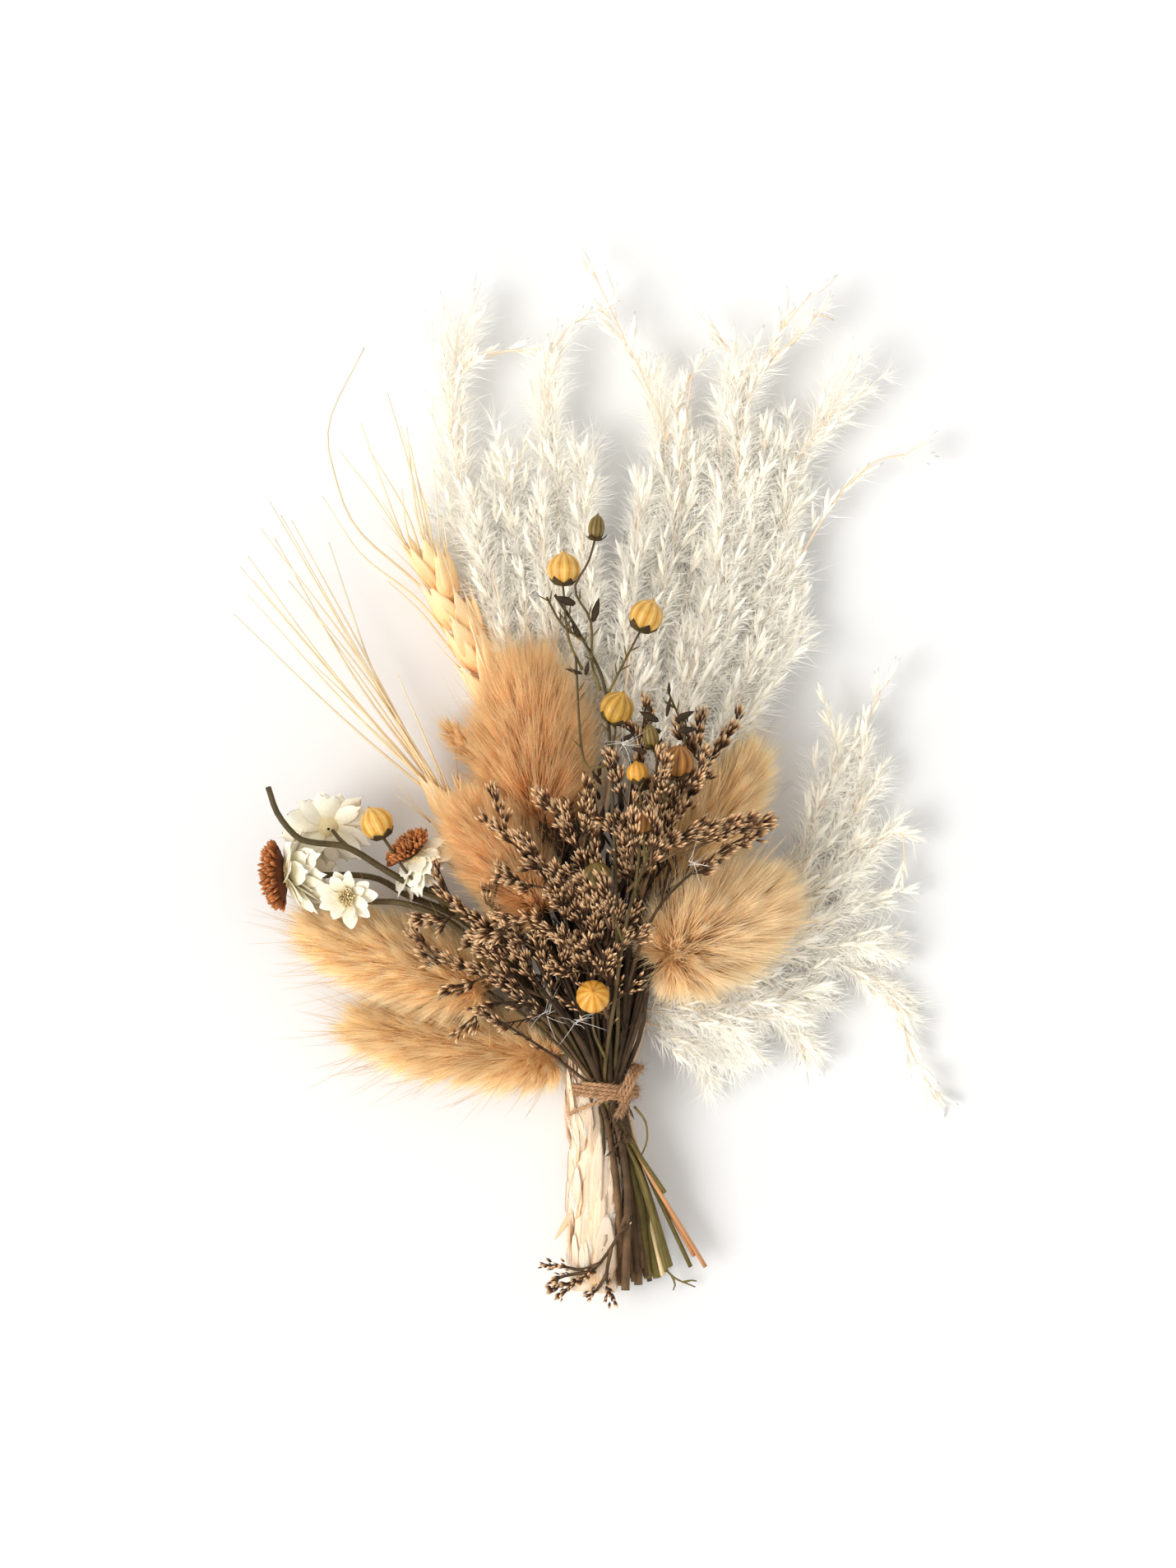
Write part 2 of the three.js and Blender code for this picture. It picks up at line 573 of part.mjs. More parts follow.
// How wide a head is at a part t of its length, as a fraction of its radius.
const headWidth = (t) => Math.pow(Math.sin(Math.PI * Math.min(1, 0.1 + 0.9 * t)), 0.55);

function headPieces(node, { stem, tip, radius }) {
  const root = vector(stem.at(-1));
  const end = vector(tip);
  const cuts = 6;
  const list = [];
  for (let i = 0; i < cuts; i++) {
    const a = root.clone().lerp(end, (i + 0.35) / cuts);
    const b = root.clone().lerp(end, (i + 0.65) / cuts);
    list.push({ node, a, b, radius: radius * headWidth((i + 0.5) / cuts) });
  }
  return list;
}

// An egg-shaped head whose surface stands out in rows of spikes that point to the tip.
function headSolid({ stem, tip, radius }) {
  const root = vector(stem.at(-1));
  const axis = vector(tip).sub(root);
  const length = axis.length();
  const { around, rows, valley, forward } = HEAD;
  const merged = mergeVertices(stripped(new THREE.SphereGeometry(1, around, rows)), 1e-5);
  const spots = merged.attributes.position;
  for (let i = 0; i < spots.count; i++) {
    const polar = Math.acos(THREE.MathUtils.clamp(spots.getY(i), -1, 1));
    const row = Math.round((polar / Math.PI) * rows);
    const turn = Math.atan2(spots.getZ(i), spots.getX(i));
    const column = Math.round((turn / Math.PI / 2) * around);
    const inner = row > 0 && row < rows;
    const out = inner && (row + column) % 2 === 0;
    const t = 1 - row / rows;
    const wide = inner ? radius * headWidth(t) * (out ? 1 : valley) : 0;
    spots.setXYZ(i, Math.cos(turn) * wide, t * length + (out ? forward : 0), Math.sin(turn) * wide);
  }
  return place(merged, root, axis.normalize());
}

function stripped(geometry) {
  geometry.deleteAttribute("normal");
  geometry.deleteAttribute("uv");
  return geometry;
}

function addTails() {
  for (const [name, tail] of Object.entries(TAILS)) {
    const chain = chains.find((c) => c.node === name);
    add(name, fuse([headSolid(tail), tube(sunk(chain.points, tail), TAIL_STEM, 3)]), TAN);
  }
}

// A head's stem, with its end drawn a little way into the head.
function sunk(points, { stem, tip }) {
  const root = vector(stem.at(-1));
  return [...points, root.clone().lerp(vector(tip), 0.12)];
}

// ---- Plume grass ----

function addPlumes() {
  for (const name of Object.keys(PLUMES)) {
    const [strand, ...fronds] = chains.filter((c) => c.node === name);
    const random = randomFrom(name.length * 7919);
    const parts = [tube(strand.points, PLUME.stem, 5)];
    for (const frond of fronds) {
      const bare = Math.min(PLUME.bare, 0.35 * frond.points[0].distanceTo(frond.points.at(-1)));
      parts.push(tube(lower(frond, bare + 4), PLUME.frond, 3));
      parts.push(brush(name, frond, { ...PLUME.brush, from: bare }, random));
    }
    parts.push(shag(name, strand, random));
    add(name, fuse(parts), IVORY, 0.95);
  }
}

// The compressed leafy scales round a strand below the tie.
function shag(name, strand, random) {
  const low = { points: strand.points.filter((p) => p.y < TIE.y - TIE.below).reverse() };
  return brush(name, low, PLUME.scales, random);
}

// ---- Wheat ----

function addWheat() {
  for (const [name, wheat] of Object.entries(WHEAT)) {
    const [straw, ear] = chains.filter((c) => c.node === name);
    const random = randomFrom(name.length * 31 + wheat.awns.length);
    const parts = [tube([...straw.points, ear.points[1]], EAR.straw, 4), brush(name, ear, EAR.brush, random)];
    const places = stations(ear, EAR.every).slice(wheat.hidden);
    wheat.awns.forEach((tip, i) => {
      const from = places[Math.floor((i / wheat.awns.length) * places.length)];
      parts.push(...awn(name, from, i % 2, vector(tip), random));
    });
    add(name, fuse(parts), STRAW, 0.8);
  }
}

// A long stiff bristle from a spikelet's tip, slightly bowed.
function awn(name, { point, along }, side, tip, random) {
  const leave = point.clone().addScaledVector(lean(along, 0.42, side ? Math.PI : 0), 2);
  const middle = leave.clone().lerp(tip, 0.5);
  middle.x -= 0.8 + random();
  const route = [leave, middle, tip];
  for (let i = 0; i < 2; i++) if (!free(name, route[i], route[i + 1], EAR.awn)) return [];
  for (let i = 0; i < 2; i++) take(name, route[i], route[i + 1], EAR.awn);
  return [tube(route, EAR.awn, 3, 16)];
}

// ---- Sea lavender ----

function addLavender() {
  for (const name of Object.keys(LAVENDER)) {
    const sprays = chains.filter((c) => c.node === name);
    const random = randomFrom(name.length * 101);
    const parts = [];
    sprays.forEach((spray, i) => {
      const from = Math.max(3, lengthOf(spray) - SPRAY.bloom);
      parts.push(tube(lower(spray, from + 3), i ? SPRAY.fork : SPRAY.stem, i ? 3 : 4));
      parts.push(brush(name, spray, { ...SPRAY.brush, from }, random));
    });
    add(name, fuse(parts), BROWN);
  }
}

// ---- Flax ----

function addFlax() {
  for (const name of Object.keys(FLAX)) {
    const parts = chains.filter((c) => c.node === name).map((c) => tube(c.points, FLAX_STALK, 3));
    add(name, fuse(parts), OLIVE);
  }
  for (const [name, pod] of Object.entries(PODS)) add(name, podSolid(pod), GOLD, 0.6);
}

// A round capsule with ribs from its stalk to its pointed tip.
function podSolid({ at, size, axis }) {
  const radius = POD_RADIUS * size;
  const profile = [[0, -1], [0.6, -0.86], [1, -0.15], [0.86, 0.5], [0.3, 0.98], [0, 1.22]];
  const points = profile.map(([r, h]) => new THREE.Vector2(r * radius, h * radius * 0.95));
  const shape = stripped(new THREE.LatheGeometry(points, 10));
  const spots = shape.attributes.position;
  for (let i = 0; i < spots.count; i++) {
    const turn = Math.atan2(spots.getZ(i), spots.getX(i));
    const rib = 1 + 0.04 * Math.cos(5 * turn);
    spots.setXYZ(i, spots.getX(i) * rib, spots.getY(i), spots.getZ(i) * rib);
  }
  return place(shape, vector(at), vector(axis).normalize());
}

// ---- Winged everlasting ----

function addEverlastings() {
  for (const name of Object.keys(EVERLASTING_STEMS)) {
    const parts = chains.filter((c) => c.node === name).map((c) => tube(c.points, EVERLASTING_STEM, 4));
    add(name, fuse(parts), OLIVE);
  }
  for (const [name, bloom] of Object.entries(BLOOMS)) {
    add(`${name}_petals`, fuse(petalRing(bloom), false), CREAM);
    add(`${name}_disc`, discSolid(bloom), RUST);
  }
}

// A cupped ring of pointed petals on a small flat heart.
function petalRing({ at, facing, petals, rise }) {
  const axis = vector(facing).normalize();
  const heart = new THREE.CylinderGeometry(1.5, 1.1, 1.2, 8, 1);
  const made = [place(heart, vector(at), axis)];
  for (let k = 0; k < PETALS; k++) {
    const tall = k % 2;
    const out = lean(axis, Math.PI / 2 - rise - 0.25 * tall, (k / PETALS) * Math.PI * 2);
    const shape = new THREE.OctahedronGeometry(1);
    shape.scale(PETAL.width / 2, petals / 2, PETAL.thickness / 2);
    shape.translate(0, petals / 2, 0);
    made.push(place(shape, vector(at), out, petalSpin(axis, out)));
  }
  return made;
}

// The turn about a petal's length that lays its flat side towards the bloom's axis.
function petalSpin(axis, out) {
  const turn = new THREE.Quaternion().setFromUnitVectors(new THREE.Vector3(0, 1, 0), out);
  const flat = new THREE.Vector3(0, 0, 1).applyQuaternion(turn);
  const across = axis.clone().addScaledVector(out, -axis.dot(out)).normalize();
  const sign = Math.sign(flat.clone().cross(across).dot(out));
  return sign * flat.angleTo(across);
}

// The domed centre, a clear step above the petals.
function discSolid({ at, facing, disc, rise }) {
  const axis = vector(facing).normalize();
  const profile = [[0, 0], [0.8, 0.1], [1, 0.35], [0.85, 0.62], [0.45, 0.78], [0, 0.82]];
  const points = profile.map(([r, h]) => new THREE.Vector2(r * disc, h * disc * 0.8));
  const shape = stripped(new THREE.LatheGeometry(points, 10));
  const cupped = Math.max(0, disc * Math.sin(rise + 0.25) - 0.3);
  return place(shape, vector(at).addScaledVector(axis, 0.95 + cupped), axis);
}

// ---- Twine ----

// The twine winds round all the stems, crosses itself in a knot on top and ends in a frayed tail.
function addTwine() {
  const across = TIE.halfWidth + GAP + TWINE_RADIUS;
  const up = TIE.halfHeight + GAP + TWINE_RADIUS;
  const turnAt = (turn) => {
    const angle = 1.15 + turn * Math.PI * 2;
    const y = TIE.y + (turn - TWINE_TURNS / 2) * TWINE_PITCH;
    return new THREE.Vector3(TIE.x + across * Math.cos(angle), y, TIE.z + up * Math.sin(angle));
  };
  const wound = [];
  for (let i = 0; i <= TWINE_TURNS * 16; i++) wound.push(turnAt(i / 16));
  const knot = turnAt(TWINE_TURNS / 2).setX(TIE.x + 3.6).setZ(TIE.z + up * 0.88);
  const ball = new THREE.IcosahedronGeometry(1, 1);
  ball.scale(1.6, 3.1, 1.2);
  ball.translate(knot.x, knot.y, knot.z);
  const tail = [knot, knot.clone().add(vector([0.6, -2.6, 0.6])), knot.clone().add(vector([1.2, -4.6, 0.4]))];
  const parts = [tube(wound, TWINE_RADIUS, 5, 5), solid(ball), tube(tail, 0.8, 5)];
  add("twine", fuse(parts), JUTE);
}

// ---- The posy ----

function layStalks() {
  for (const [name, plume] of Object.entries(PLUMES)) {
    addStalk(name, plume.stem, PLUME.stem);
    for (const route of plume.fronds)
      addStalk(name, route, PLUME.frond, PLUME.reach, 70, nearChain(name, route));
  }
  for (const [name, tail] of Object.entries(TAILS)) addStalk(name, tail.stem, TAIL_STEM);
  for (const [name, wheat] of Object.entries(WHEAT)) {
    const straw = addStalk(name, wheat.stem, EAR.straw);
    addStalk(name, wheat.ear, EAR.radius, EAR.radius, Infinity, straw);
  }
  for (const [name, spray] of Object.entries(LAVENDER)) {
    addStalk(name, spray.stem, SPRAY.stem, SPRAY.reach, 40);
    for (const route of spray.forks) addStalk(name, route, SPRAY.fork, SPRAY.reach, 40, nearChain(name, route));
  }
  for (const [name, flax] of Object.entries(FLAX)) {
    addStalk(name, flax.stem, FLAX_STALK);
    for (const route of flax.forks) addStalk(name, route, FLAX_STALK, FLAX_STALK, 0, nearChain(name, route));
  }
  for (const [name, stem] of Object.entries(EVERLASTING_STEMS)) {
    addStalk(name, stem.stem, EVERLASTING_STEM);
    for (const route of stem.forks)
      addStalk(name, route, EVERLASTING_STEM, EVERLASTING_STEM, 0, nearChain(name, route));
  }
}

// The stalk of a node that a fork's root lies on.
function nearChain(name, route) {
  const root = vector(route[0]);
  const away = (chain) => Math.min(...chain.points.map((p) => p.distanceTo(root)));
  return chains.filter((c) => c.node === name).sort((p, q) => away(p) - away(q))[0];
}

// The heads, capsules and blooms, which stay where they are while the stalks settle.
function fixedPieces() {
  const list = Object.entries(TAILS).flatMap(([name, tail]) => headPieces(name, tail));
  for (const [name, { at, size, axis }] of Object.entries(PODS)) {
    const middle = vector(at);
    const way = vector(axis).normalize().multiplyScalar(0.6 * size);
    const radius = POD_RADIUS * size;
    list.push({ node: name, a: middle.clone().sub(way), b: middle.clone().add(way), radius });
  }
  for (const [name, { at, facing, petals, disc, rise }] of Object.entries(BLOOMS)) {
    const axis = vector(facing).normalize();
    for (let k = 0; k < 9; k++) {
      const out = lean(axis, Math.PI / 2 - rise - 0.1, (k / 9) * Math.PI * 2);
      const a = vector(at).addScaledVector(out, 2);
      list.push({ node: name, a, b: vector(at).addScaledVector(out, petals - 0.6), radius: 1.3 });
    }
    const a = vector(at).addScaledVector(axis, 2);
    list.push({ node: name, a, b: a.clone().addScaledVector(axis, 1 + disc * 0.5), radius: disc * 0.9 });
  }
  return list;
}

// Lengthens the stalk that ends nearest to a capsule or a bloom until it meets its underside.
function seat(stalks, at, axis, depth) {
  const foot = vector(at).addScaledVector(vector(axis).normalize(), -depth - SEAT);
  const away = (chain) => chain.points.at(-1).distanceTo(foot);
  const ends = chains.filter((c) => c.node in stalks).sort((p, q) => away(p) - away(q));
  ends[0].points.push(foot);
}

function seatAll() {
  for (const { at, size, axis } of Object.values(PODS)) seat(FLAX, at, axis, POD_RADIUS * size * 0.95);
  for (const { at, facing } of Object.values(BLOOMS)) seat(EVERLASTING_STEMS, at, facing, 0.6);
}

layStalks();
settle(fixedPieces());
seatAll();
addTails();
addWheat();
addFlax();
addEverlastings();
addLavender();
addPlumes();
addTwine();

export default posy;
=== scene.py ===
# %% [markdown]
# # A tied posy of dried grasses and flowers
# The posy lies flat and is seen from straight above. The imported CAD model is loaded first, because every piece
# made here has to sit where its solid is. Lengths below are written in millimetres, as on a bench, and turned into
# metres only when a mesh is built.

# %% The frame
import math
import bpy
import numpy as np
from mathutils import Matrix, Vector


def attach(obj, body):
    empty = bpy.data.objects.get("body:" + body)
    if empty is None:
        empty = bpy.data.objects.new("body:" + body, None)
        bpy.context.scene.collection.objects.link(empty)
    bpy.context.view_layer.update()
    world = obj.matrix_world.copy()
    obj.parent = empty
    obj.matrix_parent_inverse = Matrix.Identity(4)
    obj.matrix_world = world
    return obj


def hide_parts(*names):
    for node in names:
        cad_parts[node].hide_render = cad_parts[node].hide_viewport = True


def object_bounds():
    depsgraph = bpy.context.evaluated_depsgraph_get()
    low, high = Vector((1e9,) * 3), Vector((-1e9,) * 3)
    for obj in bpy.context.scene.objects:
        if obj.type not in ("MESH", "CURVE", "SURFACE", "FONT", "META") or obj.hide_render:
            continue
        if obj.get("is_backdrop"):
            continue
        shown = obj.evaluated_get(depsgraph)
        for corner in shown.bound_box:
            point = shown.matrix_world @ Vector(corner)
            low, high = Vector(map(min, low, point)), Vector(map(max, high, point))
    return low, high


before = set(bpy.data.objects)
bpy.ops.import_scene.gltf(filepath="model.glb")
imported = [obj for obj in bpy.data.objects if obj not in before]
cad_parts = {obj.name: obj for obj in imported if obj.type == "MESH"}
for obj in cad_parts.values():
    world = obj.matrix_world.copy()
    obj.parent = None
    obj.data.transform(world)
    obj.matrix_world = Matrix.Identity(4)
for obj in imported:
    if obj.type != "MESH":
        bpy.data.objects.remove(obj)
cad_low, cad_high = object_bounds()
MM = 0.001  # metres in a millimetre
GOLDEN_ANGLE = 2.39996  # radians; the turn from one floret, tuft or scale to the next
print("CAD nodes", len(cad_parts), "box mm", [round(c / MM, 1) for c in (*cad_low, *cad_high)])

# %% [markdown]
# ## Where everything lies
# Each stalk is a route: a few points from its cut end, through the twine, to its tip. The twine holds them all near
# x 0, y 12.5, so the routes pass there close together and fan out above and below. A smooth curve goes through the
# points later. Routes are used because a florist thinks the same way: each stalk is laid in turn.

# %% The tie and the plume routes
TIE = np.array([0.1, 12.5, 9.6])  # the middle of the bundle where the twine holds it
TIE_HALF = np.array([6.2, 8.2])  # half its width and half its height there
# A frond is (the share of it that is lush with silk, the reach of its branchlets, its route).
PLUMES = {
    "plume_left": {
        "stem": [[-5.4, -31.4, 2.8], [-4.4, -6, 2.6], [-3.7, 12.5, 4.9], [-6, 35, 2.4], [-8, 62, 2.4]],
        "fronds": [
            (1.22, 19, [[-8, 62, 2.4], [-17.5, 99, 3], [-27.5, 128, 5], [-33.3, 157.5, 7], [-33.2, 179.5, 8]]),
            (0.15, 8, [[-34.5, 160, 7], [-33, 172, 9], [-24.5, 177.5, 10], [-14.5, 178.5, 10]]),
            (1.12, 16, [[-8, 62, 2.4], [-13.5, 106, 3.5], [-19, 133.5, 6], [-21.5, 149, 8]]),
            (0.95, 14, [[-9, 70, 3], [-18, 100, 7], [-24, 125, 9], [-29, 146, 9]]),
        ],
    },
    "plume_middle": {
        "stem": [[-4, -31.4, 7.4], [-3, -6, 7.4], [-4.4, 12.5, 8.2], [-3, 32, 4.6], [-2.5, 62, 2.6]],
        "fronds": [
            (0.9, 10.5, [[-2.5, 62, 2.6], [-6.5, 110, 4], [-10.5, 142.5, 7], [-12.6, 164.5, 9], [-12.2, 175, 10],
                       [-8.4, 183, 10], [-3.5, 186.6, 10]]),
            (1.1, 11.5, [[-2.5, 62, 2.6], [-3, 110, 6], [-5, 136, 9], [-4, 151, 10]]),
            (0.8, 15, [[-2.5, 62, 2.6], [5.5, 110, 3], [12, 142.5, 5], [13, 161, 7], [2.5, 185, 10],
                        [-2.5, 195.5, 11]]),
            (0.2, 7, [[13.5, 158, 7], [17, 167, 8], [19.2, 173, 9]]),
            (0.95, 14, [[-4, 70, 4], [-9, 100, 8], [-13, 128, 9], [-15, 148, 9]]),
            (0.95, 14, [[-1, 70, 4], [5, 105, 8], [7, 130, 9], [8, 148, 9]]),
        ],
    },
    "plume_right": {
        "stem": [[-1.6, -32, 0.9], [-0.2, -12, 1.4], [0.6, 1, 1.4], [-0.2, 13, 3.2], [0, 20, 2.8], [3, 62, 2.4]],
        "fronds": [
            (0.85, 15, [[3, 62, 2.4], [10, 106, 5], [16, 139, 8], [18, 161, 10], [19.5, 173, 11]]),
            (0.9, 16, [[3, 62, 2.4], [12, 102.5, 3], [22, 135.5, 5], [27.5, 161, 7], [30, 174, 8], [25, 182, 9]]),
            (0.84, 16, [[3, 62, 2.4], [17, 100.5, 6], [27.5, 135.5, 9], [31, 164.5, 10], [38.5, 181, 11],
                        [46, 191, 12]]),
            (0.2, 7, [[36, 176, 11], [42, 180, 11], [47, 186, 12], [51, 185, 11]]),
            (0.95, 17, [[4, 66, 4], [16, 96, 9], [24, 122, 10], [29, 148, 10]]),
            (0.95, 15, [[5, 70, 4], [20, 100, 8], [32, 130, 9], [36, 158, 10]]),
        ],
    },
    "plume_edge": {
        "stem": [[-0.8, -31.4, 7.2], [0.8, -6, 6.6], [-0.8, 12.5, 6.6], [3.5, 32, 4], [8, 60, 2.4]],
        "fronds": [
            (1.14, 19, [[8, 60, 2.4], [23, 102.5, 3], [35, 132, 5], [43, 154, 7], [51.5, 165, 8]]),
            (0.6, 14, [[8, 60, 2.4], [26, 100.5, 3.5], [38.5, 122.5, 6], [49.5, 142, 7], [59.5, 153, 8],
                       [69, 155.5, 8]]),
            (0.95, 13, [[10, 64, 4], [26, 92, 6], [37, 108, 7], [43, 122, 7]]),
            (0.95, 14, [[10, 66, 4], [29, 98, 8], [38, 126, 8], [41, 148, 8]]),
        ],
    },
    "plume_side": {
        "stem": [[4.5, -24, 2.4], [4.6, -6, 2.6], [2.8, 12.5, 4.4], [3.4, 18, 4], [9, 28, 2.6], [20, 38, 3]],
        "fronds": [
            (0.9, 11, [[20, 38, 3], [41, 62, 4], [48.5, 77, 6], [52, 88, 8], [50, 98, 9]]),
            (0.8, 11, [[20, 38, 3], [46, 62, 3], [56, 77, 5], [57.5, 91.5, 7], [61.5, 102.5, 8]]),
            (0.8, 11, [[20, 38, 3], [46, 56, 5], [59.5, 67.5, 6], [66, 71, 7], [67, 62, 6]]),
            (0.8, 11, [[20, 38, 3], [45, 50.5, 3], [57.5, 55, 4], [65, 58, 5]]),
            (0.7, 11, [[20, 38, 3], [45, 44, 4], [59.5, 38.5, 4], [65.5, 31, 4], [68.5, 22, 4], [72.5, 13.5, 4]]),
            (0.85, 11, [[20, 38, 3], [34, 34, 3], [41, 27.5, 3], [46, 20, 3]]),
            (0.8, 11, [[14, 32, 3], [18.5, 26, 3], [22.5, 20, 3]]),
            (0.95, 12, [[12, 34, 5], [20, 31, 10], [29, 27, 10]]),
            (1.15, 12, [[-2, 33, 8], [5, 32, 11], [12, 31, 12], [20, 29, 12], [27, 26.5, 10]]),
            (1.15, 11, [[0, 31, 7], [6, 29.5, 9], [13, 27.5, 10], [19, 25.5, 10], [25, 23.5, 8]]),
            (1.1, 12, [[12, 33, 8], [22, 31.5, 12], [33, 30, 11], [42, 29.5, 8]]),
            (1.1, 12, [[16, 37, 8], [30, 42, 11], [44, 49, 10], [53, 56, 8]]),
            (0.95, 12, [[14, 36, 6], [26, 36, 11], [38, 35, 10], [48, 38, 8]]),
            (0.95, 12, [[20, 38, 3], [36, 52, 6], [48, 60, 7], [57, 67, 7]]),
            (0.95, 12, [[20, 38, 3], [38, 44, 6], [52, 46, 7], [61, 45, 6]]),
        ],
    },
}
print("plumes", len(PLUMES), "fronds", sum(len(p["fronds"]) for p in PLUMES.values()))

# %% Bunny tails: stem, tip of the head, its radius with the fur, its hairs and which fur it has
TAILS = {
    "bunny_tail_1": {
        "stem": [[1, -27, 5], [1.2, -6, 8.5], [1, 12.5, 9.4], [-6, 45, 8.5], [-14.2, 69, 13]],
        "tip": [-17.4, 112, 16], "radius": 13.4, "hairs": 23000, "fur": 0,
    },
    "bunny_tail_2": {
        "stem": [[3.5, -26, 4], [2, -6, 8], [-0.6, 12.5, 9.2], [-6, 36, 17], [-13.6, 53.5, 22]],
        "tip": [-33, 79, 22], "radius": 9.8, "hairs": 15000, "fur": 0,
    },
    "bunny_tail_3": {
        "stem": [[4, -25, 6.5], [1, -6, 10], [-3.4, 12.5, 10.6], [-14, 27, 15], [-26, 35.8, 13.8]],
        "tip": [-69.5, 50.6, 11.5], "radius": 9.9, "hairs": 16500, "fur": 1,
    },
    "bunny_tail_4": {
        "stem": [[5, -24, 8], [0, -4, 10.5], [-4.8, 10.5, 11.4], [-11, 20.6, 7]],
        "tip": [-59.5, 28.2, 7.4], "radius": 9.6, "hairs": 16000, "fur": 1,
    },
    "bunny_tail_5": {
        "stem": [[11, -27, 3], [7, -6, 6], [3.6, 12.5, 8.4], [7, 36, 8], [11.5, 53, 8.4]],
        "tip": [35, 90.6, 8.2], "radius": 10.1, "hairs": 16500, "fur": 1,
    },
    "bunny_tail_6": {
        "stem": [[20, -23.6, 6], [9.2, -2, 9.5], [5, 12.5, 9.8], [6, 30, 15.4], [12, 43, 21]],
        "foot": [12.8, 42.6, 24.4], "flare": 2.7, "tip": [42, 59.2, 16.4], "radius": 11.8, "hairs": 22000, "fur": 2,
    },
    "bunny_tail_7": {
        "stem": [[6, -26, 5], [4, -6, 6], [1, 12.5, 7.6], [-8, 50, 6.5], [-23, 82.5, 5.5]],
        "tip": [-37, 96, 8], "radius": 3.9, "hairs": 1700, "fur": 2, "flare": 1.3,
    },
}
print("tails", len(TAILS))

# %% Wheat: straw, ear and the routes of its awns
WHEAT = {
    "wheat_ear_1": {
        "stem": [[22.5, -26, 6.4], [8.6, -1, 11.6], [2.2, 12.5, 8.4], [-6, 50, 5.5], [-15, 84, 5.2],
                 [-22.4, 98, 6.6]],
        "ear": [[-22.4, 98, 7], [-28.8, 111.4, 7.6], [-34, 121, 8.2], [-38, 131, 9]],
        "awns": [
            [[-36, 120, 8], [-42.5, 127.2, 9], [-54.9, 138.3, 10], [-59.7, 149.3, 11], [-61.3, 162, 12],
             [-53.4, 178.8, 13]],
            [[-35, 115, 8], [-42.1, 123.3, 9], [-53.4, 132.1, 10], [-58.6, 139.1, 11], [-62.8, 145.9, 11]],
            [[-36, 121, 8], [-40, 127, 10], [-45.6, 138.3, 11], [-54.2, 162, 14]],
            [[-35, 121, 9], [-38.4, 129, 10], [-42.6, 149.3, 12], [-48.3, 168.7, 12]],
            [[-36, 124, 7], [-38, 131, 9], [-39.7, 139.3, 10], [-43.2, 157.2, 10]],
            [[-36, 123, 8], [-40, 130, 9], [-44, 142, 10], [-52.6, 156.5, 10]],
            [[-32, 116, 9], [-37, 130, 10], [-40, 144, 10], [-45.5, 161.5, 9]],
            [[-34, 119, 9], [-39, 131, 10], [-42, 143, 11], [-44, 161.3, 12]],
            [[-37, 121, 7], [-41, 129, 8], [-44, 138, 8], [-45.2, 147.5, 8]],
            [[-33, 110, 7], [-40, 119, 8], [-45, 124, 8], [-48.5, 127, 8]],
            [[-26, 104, 9], [-32, 117, 11], [-36, 130, 10], [-38, 152, 10]],
            [[-37, 122, 7], [-41, 129, 9], [-50, 144, 10], [-59, 156, 12]],
            [[-24, 101, 10], [-27.5, 110, 13], [-30.4, 119.5, 14]],
            [[-25, 103, 9], [-30, 115, 11], [-34, 128, 10], [-36, 142, 11]],
        ],
    },
    "wheat_ear_2": {
        "stem": [[13, -28, 7], [8, -6, 4.6], [0.8, 12.5, 5], [-8, 30, 6], [-17.5, 46, 8]],
        "ear": [[-17.5, 46, 8], [-26, 60, 8.6], [-36, 80, 9.6]],
        "awns": [
            [[-37, 79, 11], [-54, 109, 13], [-74.5, 144.5, 12]], [[-36, 78, 12], [-52, 108, 12], [-69.7, 140.5, 10]],
            [[-37, 80, 9], [-56, 106, 11], [-73.5, 136.5, 8]], [[-38, 80, 10], [-60, 106, 11], [-79.5, 132.5, 10]],
            [[-36, 77, 11], [-58, 103, 13], [-81, 130, 12]], [[-37, 79, 9], [-57, 102, 10], [-78, 127, 9]],
            [[-38, 80, 11], [-58, 100, 12], [-79.5, 124, 11]], [[-37, 78, 10], [-59, 97, 11], [-82.5, 119.5, 9]],
            [[-36, 79, 12], [-52, 104, 13], [-70.3, 127, 12]], [[-37, 80, 10], [-50, 99, 11], [-64.5, 119.5, 10]],
            [[-35, 79, 11], [-44, 92, 13], [-52, 108, 11], [-61.3, 135.5, 14]],
            [[-35, 80, 11], [-40, 92, 11], [-46, 106, 11]], [[-37, 80, 11], [-55, 110, 11], [-76.5, 138.5, 11]],
            [[-36, 80, 12], [-53, 108, 13], [-72, 141.5, 13]], [[-37, 79, 10], [-51, 95, 10], [-65.5, 109, 10]],
        ],
    },
}

